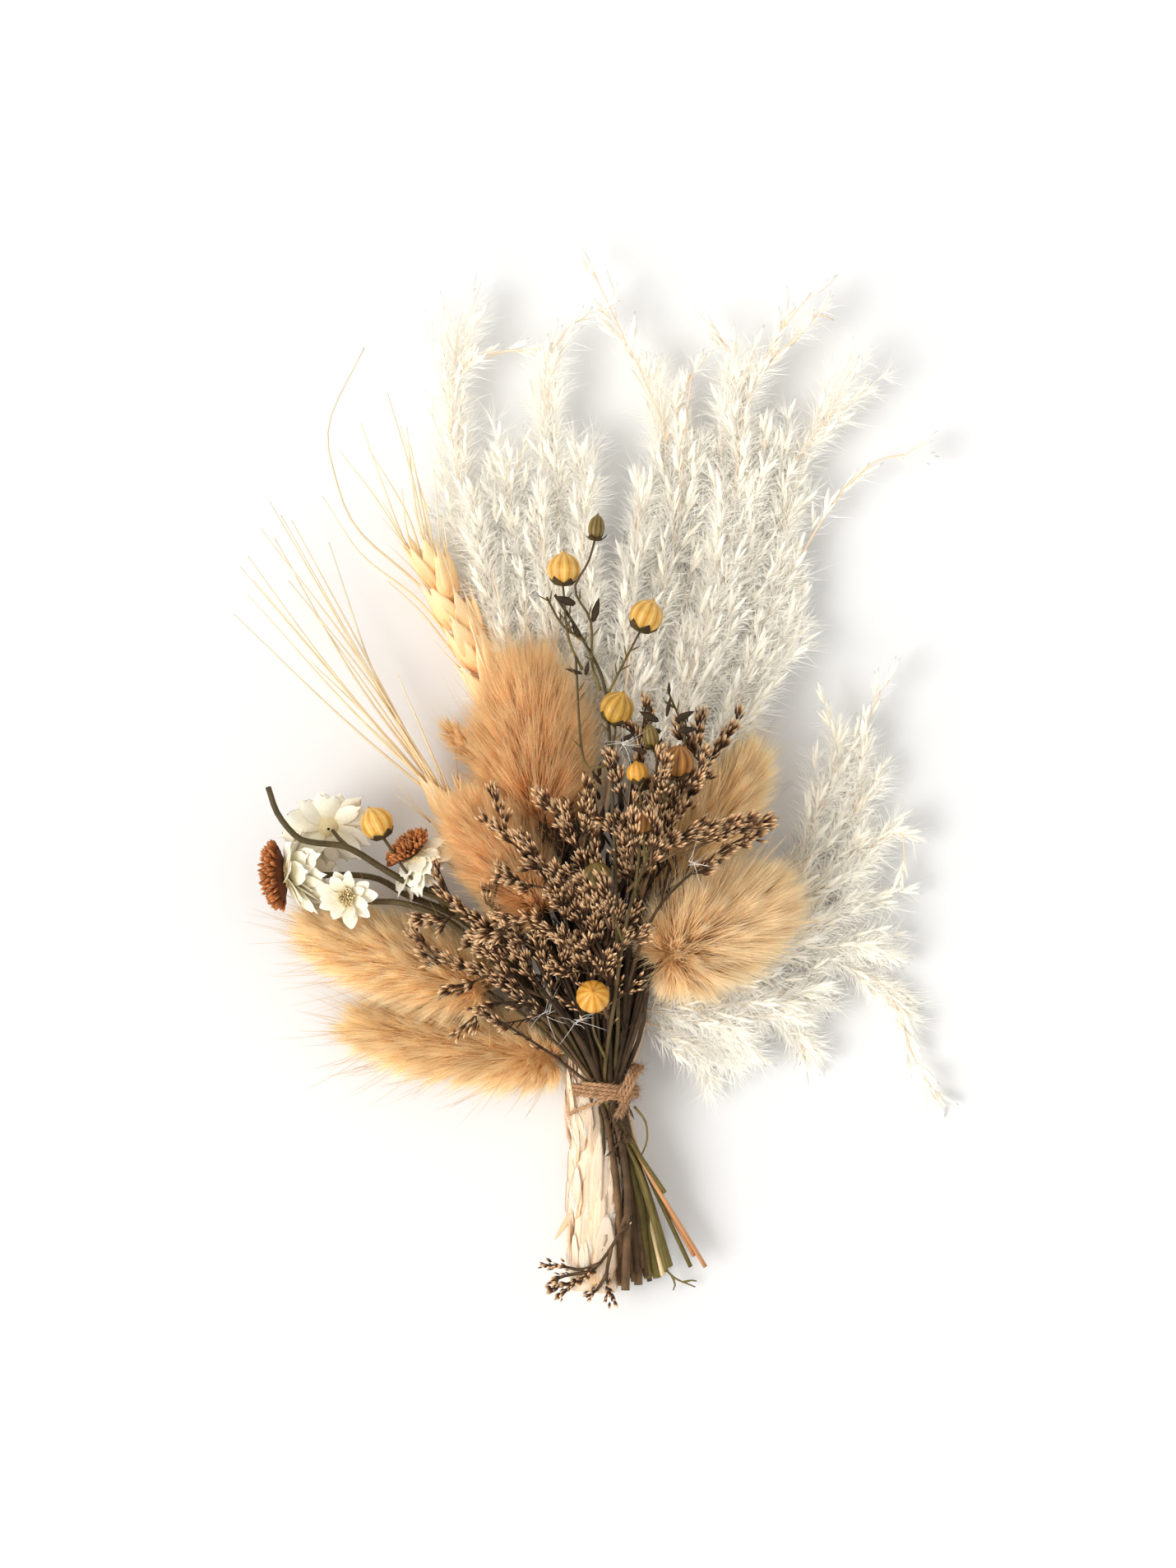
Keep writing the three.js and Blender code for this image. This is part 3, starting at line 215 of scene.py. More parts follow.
# %% Sea lavender: stems that bloom along their upper parts
LAVENDER = {
    "sea_lavender_left": [
        [[3.8, -30, 7], [2.4, -6, 11.5], [-3.2, 12.5, 12.6], [-9, 27, 17.5], [-15.5, 38, 21], [-24.5, 49.5, 22.5],
         [-32, 54, 22.5], [-36.5, 61, 22.5], [-35.5, 68.5, 22.5]],
        [[-13.5, 34.5, 20], [-23, 38.5, 22], [-32, 41, 22], [-43, 44.5, 21]],
        [[-11.5, 31, 19], [-18, 33, 19.5], [-24.5, 33, 19.5], [-31, 31.5, 18.5]],
        [[-13.5, 35, 20.5], [-18, 42, 24], [-24, 52, 27], [-27, 60, 28]],
        [[-8, 29, 20], [-12, 39, 27], [-15.5, 49, 30]],
    ],
    "sea_lavender_middle": [
        [[4.6, -31, 11], [5, -6, 12.5], [0.6, 12.5, 15.4], [1, 27.5, 21], [0, 55, 29.5], [-2, 69.5, 32],
         [-4, 80.5, 33], [-6.5, 86.5, 33]],
        [[0.6, 40.5, 25], [-8, 54, 32], [-17.5, 66, 34.5], [-28, 75, 34.5]],
        [[0.6, 38.5, 25], [-6.5, 47, 30], [-15.5, 51.5, 33], [-24.5, 52.5, 32.5]],
        [[0.2, 46, 27], [4.5, 71, 33], [8, 84, 34], [5.5, 94, 34], [0, 95, 34]],
        [[-0.5, 58, 30], [-7, 70, 34], [-10, 79, 35]],
        [[0.4, 42, 26], [-6, 56, 33], [-12, 62, 36], [-19, 64, 35]],
        [[0.6, 30, 24], [-3, 39, 31], [-6.5, 48, 34]],
        [[0.6, 32, 25], [1.6, 42, 32], [5, 50, 35]],
    ],
    "sea_lavender_right": [
        [[7.5, -30, 6], [7.2, -6, 8.4], [4, 12.5, 12], [4.2, 25, 18.5], [5, 40.5, 26], [7.5, 55, 30],
         [12, 67.5, 29.5], [21, 82.5, 27], [28.5, 94, 26], [32.8, 101, 26]],
        [[4.8, 36, 23.5], [8.6, 48, 31], [14.2, 57.4, 33.5], [26.6, 67.6, 33], [38, 73, 31]],
        [[12, 67.5, 29.5], [16.5, 78.5, 32], [21, 94, 33]],
        [[8, 56.5, 30], [12, 71, 34], [12, 83, 35]],
        [[8, 57, 30], [8, 68, 33], [2, 76, 34]],
        [[10, 62, 30], [14, 71, 33], [17.5, 78, 33]],
    ],
}
# Short sprigs over the capsules, beside the spike that points right, and reversed at the foot of the posy.
OVER_PODS = [
    [[1, 50, 36], [-1.2, 55.5, 42], [-4.6, 61, 42.8]], [[2, 50, 36], [1.4, 56, 42], [0.2, 61, 42.8]],
    [[12, 76, 36], [12.4, 81, 41], [13, 87, 41.8]], [[16, 78, 36], [20, 83, 40], [21.5, 89, 39]],
    [[6, 64, 37], [6.2, 69, 42], [5.6, 74.5, 42.4]], [[10, 80, 37], [11.2, 84, 41], [11.6, 88.5, 41.5]],
    [[10, 64, 36], [10.5, 69, 41], [10.4, 74, 41.6]],
]
BESIDE_SPIKE = [
    [[5, 58, 34], [13, 67.4, 37], [19, 70.6, 37], [25, 72.8, 36]],
    [[12, 64.5, 35], [20, 69, 36], [28, 72, 35.5], [33, 74, 34]],
    [[17, 66, 34], [24, 69.4, 35], [31, 71.8, 34.5], [36.6, 74, 33]],
]
FOOT_TWIGS = [
    [[5, -14, 12], [2.4, -20, 13.5], [-2, -26, 12.6], [-6, -28.6, 12], [-12.4, -31, 10]],
    [[1.5, -21.5, 13.5], [0.5, -28, 12.5], [1.8, -33.5, 10]],
    [[-1, -25, 13], [-5, -26.4, 12.5], [-9, -25.8, 11], [-14, -25.4, 9]],
    [[-5, -28.2, 12.2], [-8.4, -31, 11], [-10.4, -33, 9.6]],
    [[-3, -27, 12.6], [-8, -27.6, 12], [-11.6, -29, 10.6]],
    [[0.7, -27, 12.6], [-1.6, -30.8, 11.4], [-4, -32.6, 10]],
    [[3, -18, 13.4], [5.4, -16.4, 14], [6, -14, 14.2]],
]
print("sprays", sum(len(s) for s in LAVENDER.values()))

# %% Flax stalks and capsules
FLAX = {
    "flax_stalk_upper": [
        [[19.2, -26, 6], [9.4, -3, 10.5], [2, 12.5, 13.2], [3, 30, 23], [2.4, 60, 35.5], [1.4, 84, 36.5],
         [0, 103, 33], [-4.5, 113, 31], [-8, 119, 30], [-11, 123.5, 29]],
        [[-4.9, 106.9, 32.4], [-8, 114, 31.6], [-9.2, 125.6, 30]],
        [[-0.9, 102.3, 33], [-2.8, 108.5, 32.2], [-3.1, 117.7, 31], [-6.6, 124.6, 30.4], [-3.6, 130.7, 30],
         [-2.2, 135.6, 29]],
        [[0.4, 101, 33], [4.5, 109, 31], [7.9, 115.6, 30]],
        [[-5, 113.5, 31], [-9.5, 117, 31], [-12.8, 123, 31]],
        [[1, 88, 36.3], [2.2, 92, 37], [2.4, 95.5, 37]],
        [[1, 86, 35], [-4.6, 87, 34], [-6.4, 110, 33]],
    ],
    "flax_stalk_lower": [
        [[13.8, -27, 9], [8.6, -6, 12], [-1.2, 12.5, 14.8], [2.2, 34, 30], [5.4, 54, 37], [9.4, 66, 38],
         [13.6, 80, 37], [15.8, 83.6, 36.5]],
        [[4, 47, 35], [1.4, 54, 38], [-1.2, 58.6, 38]],
        [[6.5, 57, 37.5], [7.4, 65, 39], [7.9, 70.4, 38.8]],
        [[8.8, 64, 38], [8.4, 74, 38.6], [7.4, 82, 38.3]],
        [[13, 78.4, 37.2], [12.2, 84, 37.6], [10.6, 90, 37]],
        [[14.8, 81.6, 36.7], [17.6, 92, 36], [14.2, 101.6, 34.5]],
        [[0, 21, 21], [-2.4, 27, 28], [-2.6, 32.4, 31]],
    ],
    "flax_stalk_left": [
        [[13.6, -9.3, 10], [8.4, 0, 12.6], [-2.6, 12.5, 14.4], [-12, 33, 22], [-24, 47.5, 19.8], [-34, 56, 19.6],
         [-42, 60, 21], [-49.2, 70, 21.4]],
    ],
}
POD_RADIUS = 3.7  # of the capsule of size 1
# Pods 6 and 7 lie in the lavender's shade; their brown and olive looks are partly painted shade.
PODS = {
    "flax_pod_1": {"at": [-9, 129.2, 29], "size": 1, "axis": [0, 1, 0.1], "look": "straw"},
    "flax_pod_2": {"at": [9.2, 118.8, 29.8], "size": 1.02, "axis": [0.45, 1, 0.1], "look": "straw"},
    "flax_pod_3": {"at": [2.7, 98.5, 37.4], "size": 1.02, "axis": [0.35, 0.8, 0.35], "look": "green"},
    "flax_pod_4": {"at": [7.2, 84.2, 38.4], "size": 0.66, "axis": [-0.1, 1, 0.1], "look": "orange"},
    "flax_pod_5": {"at": [16.2, 86.7, 37], "size": 0.98, "axis": [0.1, 1, 0.4], "look": "brown"},
    "flax_pod_6": {"at": [8.2, 73, 39], "size": 0.66, "axis": [0.1, 1, 0.3], "look": "brown"},
    "flax_pod_7": {"at": [-1.6, 61.6, 38.2], "size": 0.82, "axis": [-0.1, 1, 0.5], "look": "olive"},
    "flax_pod_8": {"at": [-2.6, 34.8, 33.6], "size": 1, "axis": [0, 0.35, 1], "look": "orange"},
    "flax_pod_9": {"at": [-50.5, 73, 21.6], "size": 1, "axis": [-0.5, 1, 0.1], "look": "straw"},
    "flax_bud_10": {"at": [-1.8, 138.2, 28.8], "size": 0.74, "axis": [0.1, 1, 0], "look": "olive"},
    "flax_bud_11": {"at": [10.2, 92, 37], "size": 0.72, "axis": [-0.2, 1, 0.2], "look": "olive"},
}
print("pods", len(PODS))

# %% Everlastings
EVERLASTING_STEMS = {
    "everlasting_stem_1": [
        [[9.7, -28.5, 4], [6.8, -6, 9], [-1.4, 12.5, 11], [-17.5, 37, 17], [-33, 53.8, 17.6], [-41.5, 58.4, 19],
         [-49, 62.8, 20.6], [-57, 67.6, 22], [-63.8, 68.6, 23], [-68, 69.8, 23.4], [-72.4, 75, 23], [-74.6, 81, 22]],
        [[-55, 66.4, 21.6], [-58, 68.6, 20.6], [-60.4, 71.4, 18]],
    ],
    "everlasting_stem_2": [
        [[11.8, -28.5, 3], [7.6, -6, 7.4], [0.4, 12.5, 12], [-16, 37, 15], [-31, 51, 14.4], [-44, 57, 14.4],
         [-52, 61, 14.4], [-66.6, 61.4, 14]],
        [[-35, 53.4, 14.4], [-39.5, 60.4, 15], [-41, 63.8, 16.4]],
    ],
    "everlasting_stem_3": [
        [[14.3, -26, 6], [8.4, -6, 10], [-1.4, 12.5, 12.8], [-17, 34.5, 19], [-33, 50, 18.4], [-44, 55, 18.4],
         [-53, 55.6, 18.8], [-56.8, 56.6, 21]],
    ],
}
GREEN_TWIG = [  # and, as its last route, the pale thin stalk that loops beside the knot
    [[12.6, -25, 5], [15.4, -28.4, 4], [20.3, -30.7, 2]],
    [[15, -28, 4.2], [15.8, -30, 3], [15.4, -31.4, 2]],
    [[17.6, -29.6, 3], [19.4, -29.2, 2.4], [20.6, -29.4, 2]],
    [[6.6, 10, 13], [9.1, 6.6, 12.4], [9.4, 2, 11], [7.4, -2.6, 10]],
]
BLOOMS = {  # the reach of the petals, the radius of the disc, and how far the petals rise (negative: fall back)
    "everlasting_1": {"at": [-61.4, 72.2, 16.4], "facing": [-0.12, 0.42, -0.88], "petals": 9.2, "disc": 3.6,
                      "rise": 0.0},
    "everlasting_2": {"at": [-70.6, 61.6, 14.8], "facing": [-0.93, -0.1, -0.12], "petals": 11.8, "disc": 7.2,
                      "rise": -0.8},
    "everlasting_3": {"at": [-57, 56.8, 22], "facing": [-0.1, -0.1, 1], "petals": 6.3, "disc": 1.7, "rise": 0.12},
    "everlasting_4": {"at": [-42.4, 66, 17.4], "facing": [-0.62, 0.76, 0.2], "petals": 9.6, "disc": 4.8,
                      "rise": -0.75},
}
print("blooms", len(BLOOMS))

# %% [markdown]
# In the tie the shaggy grass butt keeps the left side and the top, and the thin stems lean together on the right.
# So every thin stem's route is eased towards a line 3.6 mm right of the middle, where the twine holds it.

# %% Stems gathered in the tie
GATHER_SHIFT, GATHER_PULL = 1.6, 0.45  # the stems come to rest round x = shift / pull
GATHER_Y, GATHER_FADE = 7.0, 9.0


def gathered(route):
    """x + (shift - pull x) exp(-((y - GATHER_Y) / GATHER_FADE)^2)."""
    moved = np.array(route, float)
    fade = np.exp(-(((moved[:, 1] - GATHER_Y) / GATHER_FADE) ** 2))
    moved[:, 0] += (GATHER_SHIFT - GATHER_PULL * moved[:, 0]) * fade
    return moved


for held in (*TAILS.values(), *WHEAT.values()):
    held["stem"] = gathered(held["stem"])
for group in (LAVENDER, FLAX, EVERLASTING_STEMS):
    for name in group:
        group[name] = [gathered(route) for route in group[name]]
print("gathered round x mm", round(GATHER_SHIFT / GATHER_PULL, 1))

# %% [markdown]
# ## Surfaces from numbers
# Nearly everything in a dried posy is a thin body carried along a curve: a stalk, a hair, a floret, a petal. So one
# helper carries a ring of points along many curves at once and closes both ends. It works on whole arrays, which is
# why several hundred thousand hairs take a moment and not an hour.

# %% Curves
LEVEL, UPRIGHT = np.array([0.02, 0.03, 1.0]), np.array([1.0, 0.1, 0.0])  # what a curve's sides are square to
STEEP = 0.92  # a curve that starts out steeper than this takes its sides from UPRIGHT
FINE = 24  # steps between two points of a route


def unit(v):
    """v / |v| along the last axis."""
    return v / np.maximum(np.linalg.norm(v, axis=-1, keepdims=True), 1e-12)


def around(turn, side, up, flat=1.0):
    """cos(turn) side + flat sin(turn) up, for each turn."""
    return np.cos(turn)[:, None] * side + flat * np.sin(turn)[:, None] * up


def sideways(way, reference):
    """side = way x reference, made unit length, and up = side x way."""
    side = unit(np.cross(way, reference))
    return side, np.cross(side, way)


def arc(points, ways, lengths, bends, s):
    """Bent runs at shares s, the same for all or a row for each: point + way L s + bend s^2."""
    return points[:, None] + ways[:, None] * (lengths[:, None] * s)[..., None] + bends[:, None] * (s**2)[..., None]


def smooth(points, count):
    """A Catmull-Rom curve cut at equal lengths. Between b and c, with a before and d after, at t from 0 to 1:
    (2b + (c - a) t + (2a - 5b + 4c - d) t^2 + (3b - a - 3c + d) t^3) / 2."""
    p = np.asarray(points, float)
    q = np.vstack([2 * p[0] - p[1], p, 2 * p[-1] - p[-2]])
    u = np.linspace(0, len(p) - 1, FINE * (len(p) - 1) + 1)
    k = np.minimum(u.astype(int), len(p) - 2)
    t = (u - k)[:, None]
    a, b, c, d = q[k], q[k + 1], q[k + 2], q[k + 3]
    fine = (2 * b + (c - a) * t + (2 * a - 5 * b + 4 * c - d) * t**2 + (3 * b - a - 3 * c + d) * t**3) / 2
    return even(fine, count)


def even(fine, count):
    """The same curve as count points at equal lengths, by straight lines between its fine points."""
    gone = np.r_[0, np.cumsum(np.linalg.norm(np.diff(fine, axis=0), axis=1))]
    at = np.linspace(0, gone[-1], count)
    return np.stack([np.interp(at, gone, fine[:, i]) for i in range(3)], axis=1)


def length_of(path):
    """The sum of the steps between its points."""
    return np.linalg.norm(np.diff(path, axis=0), axis=1).sum()


def stand(path, share):
    """Points, ways, sides and ups at shares 0 to 1 of a path: side = way x Z, up = side x way."""
    u = np.asarray(share) * (len(path) - 1)
    grid = np.arange(len(path))
    point = np.stack([np.interp(u, grid, path[:, i]) for i in range(3)], axis=-1)
    tangent = np.gradient(path, axis=0)
    way = unit(np.stack([np.interp(u, grid, tangent[:, i]) for i in range(3)], axis=-1))
    return point, way, *sideways(way, LEVEL)


# %% Rings carried along curves
def sweep(paths, radii, sides, tips=None, flat=1.0, ridge=0.0, ridges=5):
    """Rings on n curves of k points: point + r w(a) (cos(a) side + flat sin(a) up), w(a) = 1 + ridge cos(ridges a).
    Returns corners (n, k * sides + 2, 3), four-sided and three-sided faces of one curve, and the rise 0 to 1."""
    paths = np.asarray(paths, float)
    n, k, _ = paths.shape
    radii = np.broadcast_to(np.asarray(radii, float), (n, k))
    way = unit(np.gradient(paths, axis=1))
    side, up = sideways(way, np.where(np.abs(way[:, :1, 2:]) > STEEP, UPRIGHT, LEVEL))
    j = np.arange(sides)
    a = j / sides * 2 * math.pi
    wave = 1 + ridge * np.cos(ridges * a)
    ring = around(a, side[:, :, None], up[:, :, None], flat)
    corners = paths[:, :, None] + ring * (radii[:, :, None, None] * wave[:, None])
    last = paths[:, -1:] if tips is None else np.asarray(tips)[:, None]
    corners = np.concatenate([corners.reshape(n, -1, 3), paths[:, :1], last], axis=1)
    nxt = (j + 1) % sides
    row = np.arange(k - 1)[:, None] * sides
    quads = np.stack([row + j, row + sides + j, row + sides + nxt, row + nxt], axis=-1)
    low = np.stack([np.full(sides, k * sides), j, nxt], axis=-1)
    high = np.stack([np.full(sides, k * sides + 1), (k - 1) * sides + nxt, (k - 1) * sides + j], axis=-1)
    rise = np.r_[np.repeat(np.linspace(0, 1, k), sides), 0, 1]
    return corners, quads.reshape(-1, 4), np.vstack([low, high]), rise


class Heap:
    """Surfaces that will be one piece: corners, faces, and for each corner its rise and its tone."""

    def __init__(self):
        self.corners, self.quads, self.tris, self.rise, self.tone, self.count = [], [], [], [], [], 0

    def add(self, swept, tone=0.5, rise=None):
        corners, quads, tris, own = swept
        n, m, _ = corners.shape
        step = self.count + np.arange(n)[:, None, None] * m
        self.corners.append(corners.reshape(-1, 3))
        self.quads.append((quads[None] + step).reshape(-1, 4))
        self.tris.append((tris[None] + step).reshape(-1, 3))
        self.rise.append(np.broadcast_to(own if rise is None else rise, (n, m)).ravel())
        self.tone.append(np.broadcast_to(np.asarray(tone, float).reshape(-1, 1), (n, m)).ravel())
        self.count += n * m


def in_scene(name, data):
    """A new object, linked to the scene."""
    made = bpy.data.objects.new(name, data)
    bpy.context.scene.collection.objects.link(made)
    return made


LOWEST = 0.0002  # metres above the surface, so that no corner lies in it


def make_piece(name, heap, finish, nodes, shade_smooth=True):
    """One object from a heap, in metres, riding on the part and standing for its CAD nodes."""
    corners = np.vstack(heap.corners) * MM
    corners[:, 2] = np.maximum(corners[:, 2], LOWEST)
    quads, tris = np.vstack(heap.quads), np.vstack(heap.tris)
    mesh = bpy.data.meshes.new(name)
    mesh.vertices.add(len(corners))
    mesh.vertices.foreach_set("co", corners.astype(np.float32).ravel())
    mesh.loops.add(quads.size + tris.size)
    mesh.loops.foreach_set("vertex_index", np.r_[quads.ravel(), tris.ravel()].astype(np.int32))
    mesh.polygons.add(len(quads) + len(tris))
    starts = np.r_[np.arange(len(quads)) * 4, quads.size + np.arange(len(tris)) * 3]
    mesh.polygons.foreach_set("loop_start", starts.astype(np.int32))
    mesh.update(calc_edges=True)
    mesh.polygons.foreach_set("use_smooth", np.full(len(mesh.polygons), shade_smooth))
    for label, values in (("rise", heap.rise), ("tone", heap.tone)):
        mesh.attributes.new(label, "FLOAT", "POINT").data.foreach_set(
            "value", np.concatenate(values).astype(np.float32))
    mesh.materials.append(finish)
    made = in_scene(name, mesh)
    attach(made, "root")
    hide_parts(*nodes)
    print(f"{name}: {2 * len(quads) + len(tris)} triangles")


def stalk(heap, route, radius, tone=0.5, sides=8, taper=0.3, ridge=0.0, steps=2.0, rise=None):
    """A stalk along a smooth route: its radius falls by taper from foot to tip."""
    fine = smooth(route, max(4, int(length_of(np.asarray(route, float)) / steps)))
    radii = radius * (1 - taper * np.linspace(0, 1, len(fine)))
    heap.add(sweep(fine[None], radii[None], sides, ridge=ridge), tone, rise)


WAIST = 0.4  # the share of a hair's length where it is thickest


def hairs(heap, roots, ways, lengths, bends, thick, tone, rise=(0.0, 1.0)):
    """A bent spindle of six faces: root, three corners round the waist, point; at s it is root + way L s + bend s^2."""
    lengths = np.broadcast_to(lengths, (len(roots),))[:, None]
    tips = roots + ways * lengths + bends
    middle = roots + ways * lengths * WAIST + bends * WAIST**2
    side, up = sideways(unit(tips - roots), [0.31, 0.17, 0.94])
    ring = middle[:, None] + thick * around(np.arange(3) / 3 * 2 * math.pi, side[:, None], up[:, None])
    corners = np.concatenate([roots[:, None], ring, tips[:, None]], axis=1)
    tris = np.array([[0, 1, 2], [0, 2, 3], [0, 3, 1], [4, 2, 1], [4, 3, 2], [4, 1, 3]])
    own = rise[0] + (rise[1] - rise[0]) * np.array([0, WAIST, WAIST, WAIST, 1])
    heap.add((corners, np.zeros((0, 4), int), tris, own), tone)


THREAD_RINGS = np.linspace(0, 0.8, 4)  # shares of a thread's length


def threads(heap, roots, ways, lengths, bends, thick, tone, rise=(0.0, 1.0)):
    """The same curve as a three-sided thread of several rings, for long loose hairs that are seen to bend."""
    s = THREAD_RINGS
    lengths = np.broadcast_to(lengths, (len(roots),))
    ends = roots + ways * lengths[:, None] + bends
    swept = sweep(arc(roots, ways, lengths, bends, s), thick * (1 - 0.55 * s), 3, ends)
    heap.add(swept, tone, rise[0] + (rise[1] - rise[0]) * np.r_[np.repeat(s, 3), 0, 1])


def lay(template, at, along, across, size, heap, tone=0.5, rise=None):
    """Copies of a small shape: corner (x, y, z) goes to at + x sx across + y sy along + z sz (across x along)."""
    corners, quads, tris, own = template
    along = unit(along)
    across = unit(across - along * np.sum(across * along, axis=-1, keepdims=True))
    out = np.cross(across, along)
    size = np.broadcast_to(np.asarray(size, float), (len(at), 3))
    c = corners[0]
    placed = (at[:, None] + c[None, :, :1] * (size[:, :1] * across)[:, None]
              + c[None, :, 1:2] * (size[:, 1:2] * along)[:, None] + c[None, :, 2:] * (size[:, 2:] * out)[:, None])
    heap.add((placed, quads, tris, own), tone, rise)


def spindle(profile, sides, flat=1.0):
    """A closed template along +Y from (share, radius) pairs; its first and last pairs are the two points."""
    share = np.array([p[0] for p in profile], float)
    radius = np.array([p[1] for p in profile], float)
    path = np.stack([0 * share, share, 0 * share], axis=1)
    corners, quads, tris, _ = sweep(path[None, 1:-1], radius[None, 1:-1], sides, tips=path[-1:], flat=flat)
    corners[0, -2] = path[0]
    inner = np.repeat(share[1:-1], sides)
    return corners, quads, tris, np.r_[inner, share[0], share[-1]]


def scatter(rng, n, spread=1.0):
    """n random directions times spread."""
    return unit(rng.normal(size=(n, 3))) * spread


def sized(rng, n, low, high, size):
    """n sizes (x, y, z), each the same size times a random number from low to high."""
    return rng.uniform(low, high, (n, 1)) * np.array(size)


def seeded(table, seed):
    """Each name and entry of a table with random numbers of its own, so that a change to one leaves the rest alone."""
    for number, (name, entry) in enumerate(table.items()):
        yield name, entry, np.random.default_rng(seed + number)


print("helpers ready")

# %% [markdown]
# ## Dry finishes
# A dried plant is never one colour. Each finish reads two numbers that are stored on the surface: rise, from a
# piece's foot to its tip, and tone, different for each hair, floret or husk. A ramp turns rise into colour, tone makes
# it lighter or darker, and a noise in object space adds patches and a fine bump.

# %% Colours and finishes
def colour(red, green, blue):
    """A screen colour from 0 to 255 as the linear light that a shader wants."""
    c = np.array([red, green, blue]) / 255
    return (*np.where(c <= 0.04045, c / 12.92, ((c + 0.055) / 1.055) ** 2.4), 1.0)


def wired(tree, node, inputs):
    """The node, with each input linked to a socket of another node or set to a constant."""
    for socket, value in inputs.items():
        if isinstance(value, bpy.types.NodeSocket):
            tree.links.new(value, node.inputs[socket])
        else:
            node.inputs[socket].default_value = value
    return node


NO_BUMP = (900, 0)
BUMP_HEIGHT = 0.0003  # metres


def dry_finish(name, stops, spread=0.3, patch=(150, 0.2), bump=(900, 0.3), rough=0.8, coat=0.0, painted_light_gain=1.0):
    """Ramp over rise, times tone, times patches of noise; patch and bump are (scale per metre, strength). The gain is
    painted light: it brightens the colour, above white for near-white silk, to give thick fur and silk, and a little
    the sheaths, straw and petals, the light that passes from hair to hair, and which a few bounces lose."""
    made = bpy.data.materials.new(name)
    made.use_nodes = True
    tree = made.node_tree

    def node(kind, inputs, operation=None):
        new = tree.nodes.new(f"ShaderNode{kind}")
        if operation:
            new.operation = operation
        return wired(tree, new, inputs)

    def stored(label):
        read = tree.nodes.new("ShaderNodeAttribute")
        read.attribute_name = label
        return read.outputs["Fac"]

    place = tree.nodes.new("ShaderNodeTexCoord").outputs["Object"]
    ramp = node("ValToRGB", {"Fac": stored("rise")})
    while len(ramp.color_ramp.elements) < len(stops):
        ramp.color_ramp.elements.new(0.5)
    for element, (at, rgb) in zip(ramp.color_ramp.elements, stops):
        element.position, element.color = at, colour(*rgb)
    # painted light: the gain brightens the colour by a fixed factor
    light = node("MapRange", {"Value": stored("tone"), "To Min": painted_light_gain * (1 - spread), "To Max": painted_light_gain * (1 + spread)})
    noise = node("TexNoise", {"Vector": place, "Scale": patch[0], "Detail": 3})
    cloud = node("MapRange", {"Value": noise.outputs["Fac"], "From Min": 0.3, "From Max": 0.7,
                              "To Min": 1 - patch[1], "To Max": 1 + patch[1]})
    product = node("Math", {0: light.outputs["Result"], 1: cloud.outputs["Result"]}, "MULTIPLY")
    tinted = node("VectorMath", {0: ramp.outputs["Color"], "Scale": product.outputs["Value"]}, "SCALE")
    grain = node("TexNoise", {"Vector": place, "Scale": bump[0], "Detail": 2})
    height = node("Bump", {"Height": grain.outputs["Fac"], "Strength": bump[1], "Distance": BUMP_HEIGHT})
    wired(tree, tree.nodes["Principled BSDF"], {
        "Base Color": tinted.outputs["Vector"], "Normal": height.outputs["Normal"], "Roughness": rough,
        "Coat Weight": coat, "Specular IOR Level": 0.3})
    return made


# Gains above one are painted light: they brighten the silk, spikelets, sheaths, straw and petals for the light lost
# between hairs.
FLUFF = dry_finish("plume_fluff", [(0, (253, 249, 239)), (1, (254, 252, 246))], 0.02, (60, 0.02), NO_BUMP, 0.9,
                   painted_light_gain=1.17)
CHAFF = dry_finish("plume_spikelet", [(0, (252, 241, 218)), (0.5, (255, 251, 238)), (1, (255, 253, 246))], 0.03,
                   (200, 0.03), NO_BUMP, rough=0.6, painted_light_gain=1.16)
SHEATH = dry_finish("plume_sheath", [(0, (242, 198, 150)), (0.3, (250, 220, 186)), (1, (254, 238, 216))], 0.05,
                    (120, 0.06), (1500, 0.2), rough=0.65, painted_light_gain=1.07)
STRAW = dry_finish("wheat_straw", [(0, (228, 162, 96)), (0.3, (253, 208, 148)), (1, (255, 232, 188))], 0.08,
                   (260, 0.08), (1800, 0.4), rough=0.45, coat=0.1, painted_light_gain=1.06)
ORANGE_STRAW = dry_finish("orange_straw", [(0, (204, 142, 94)), (0.3, (222, 164, 112)), (1, (240, 204, 148))], 0.08,
                          (260, 0.12), (1800, 0.4), rough=0.5)
AWN = dry_finish("wheat_awn", [(0, (252, 222, 172)), (1, (252, 238, 206))], 0.1, (300, 0.08), rough=0.5)
FLORET = dry_finish("lavender_floret", [(0, (42, 26, 15)), (0.3, (80, 52, 32)), (0.5, (122, 84, 55)),
                                        (0.63, (204, 156, 108)), (1, (248, 218, 176))], 0.4, (300, 0.15), rough=0.7)
TWIG = dry_finish("lavender_twig", [(0, (130, 100, 70)), (0.3, (98, 74, 50)), (0.5, (76, 57, 38)), (1, (62, 46, 31))],
                  0.3, (300, 0.3), (1600, 0.6), rough=0.75)
OLIVE = dry_finish("olive_stalk", [(0, (124, 110, 56)), (0.5, (100, 82, 50)), (1, (90, 76, 46))], 0.25, (260, 0.25),
                   (1500, 0.6), rough=0.65)
GREEN = dry_finish("green_stalk", [(0, (150, 146, 72)), (0.3, (96, 98, 52)), (0.45, (92, 78, 50)), (1, (88, 74, 48))],
                   0.25, (260, 0.25), (1500, 0.6), rough=0.65)
PETAL = dry_finish("everlasting_petal", [(0, (224, 202, 150)), (0.3, (244, 235, 208)), (1, (252, 247, 232))], 0.05,
                   (260, 0.06), (1200, 0.4), rough=0.6, painted_light_gain=1.08)
RUST = dry_finish("everlasting_centre", [(0, (84, 40, 14)), (0.6, (158, 88, 42)), (1, (208, 138, 84))], 0.3,
                  (400, 0.2), rough=0.85)
JUTE = dry_finish("jute_fibre", [(0, (184, 138, 98)), (1, (212, 170, 130))], 0.22, (700, 0.25), (2600, 0.7), rough=0.9)
print("finishes", len(bpy.data.materials))

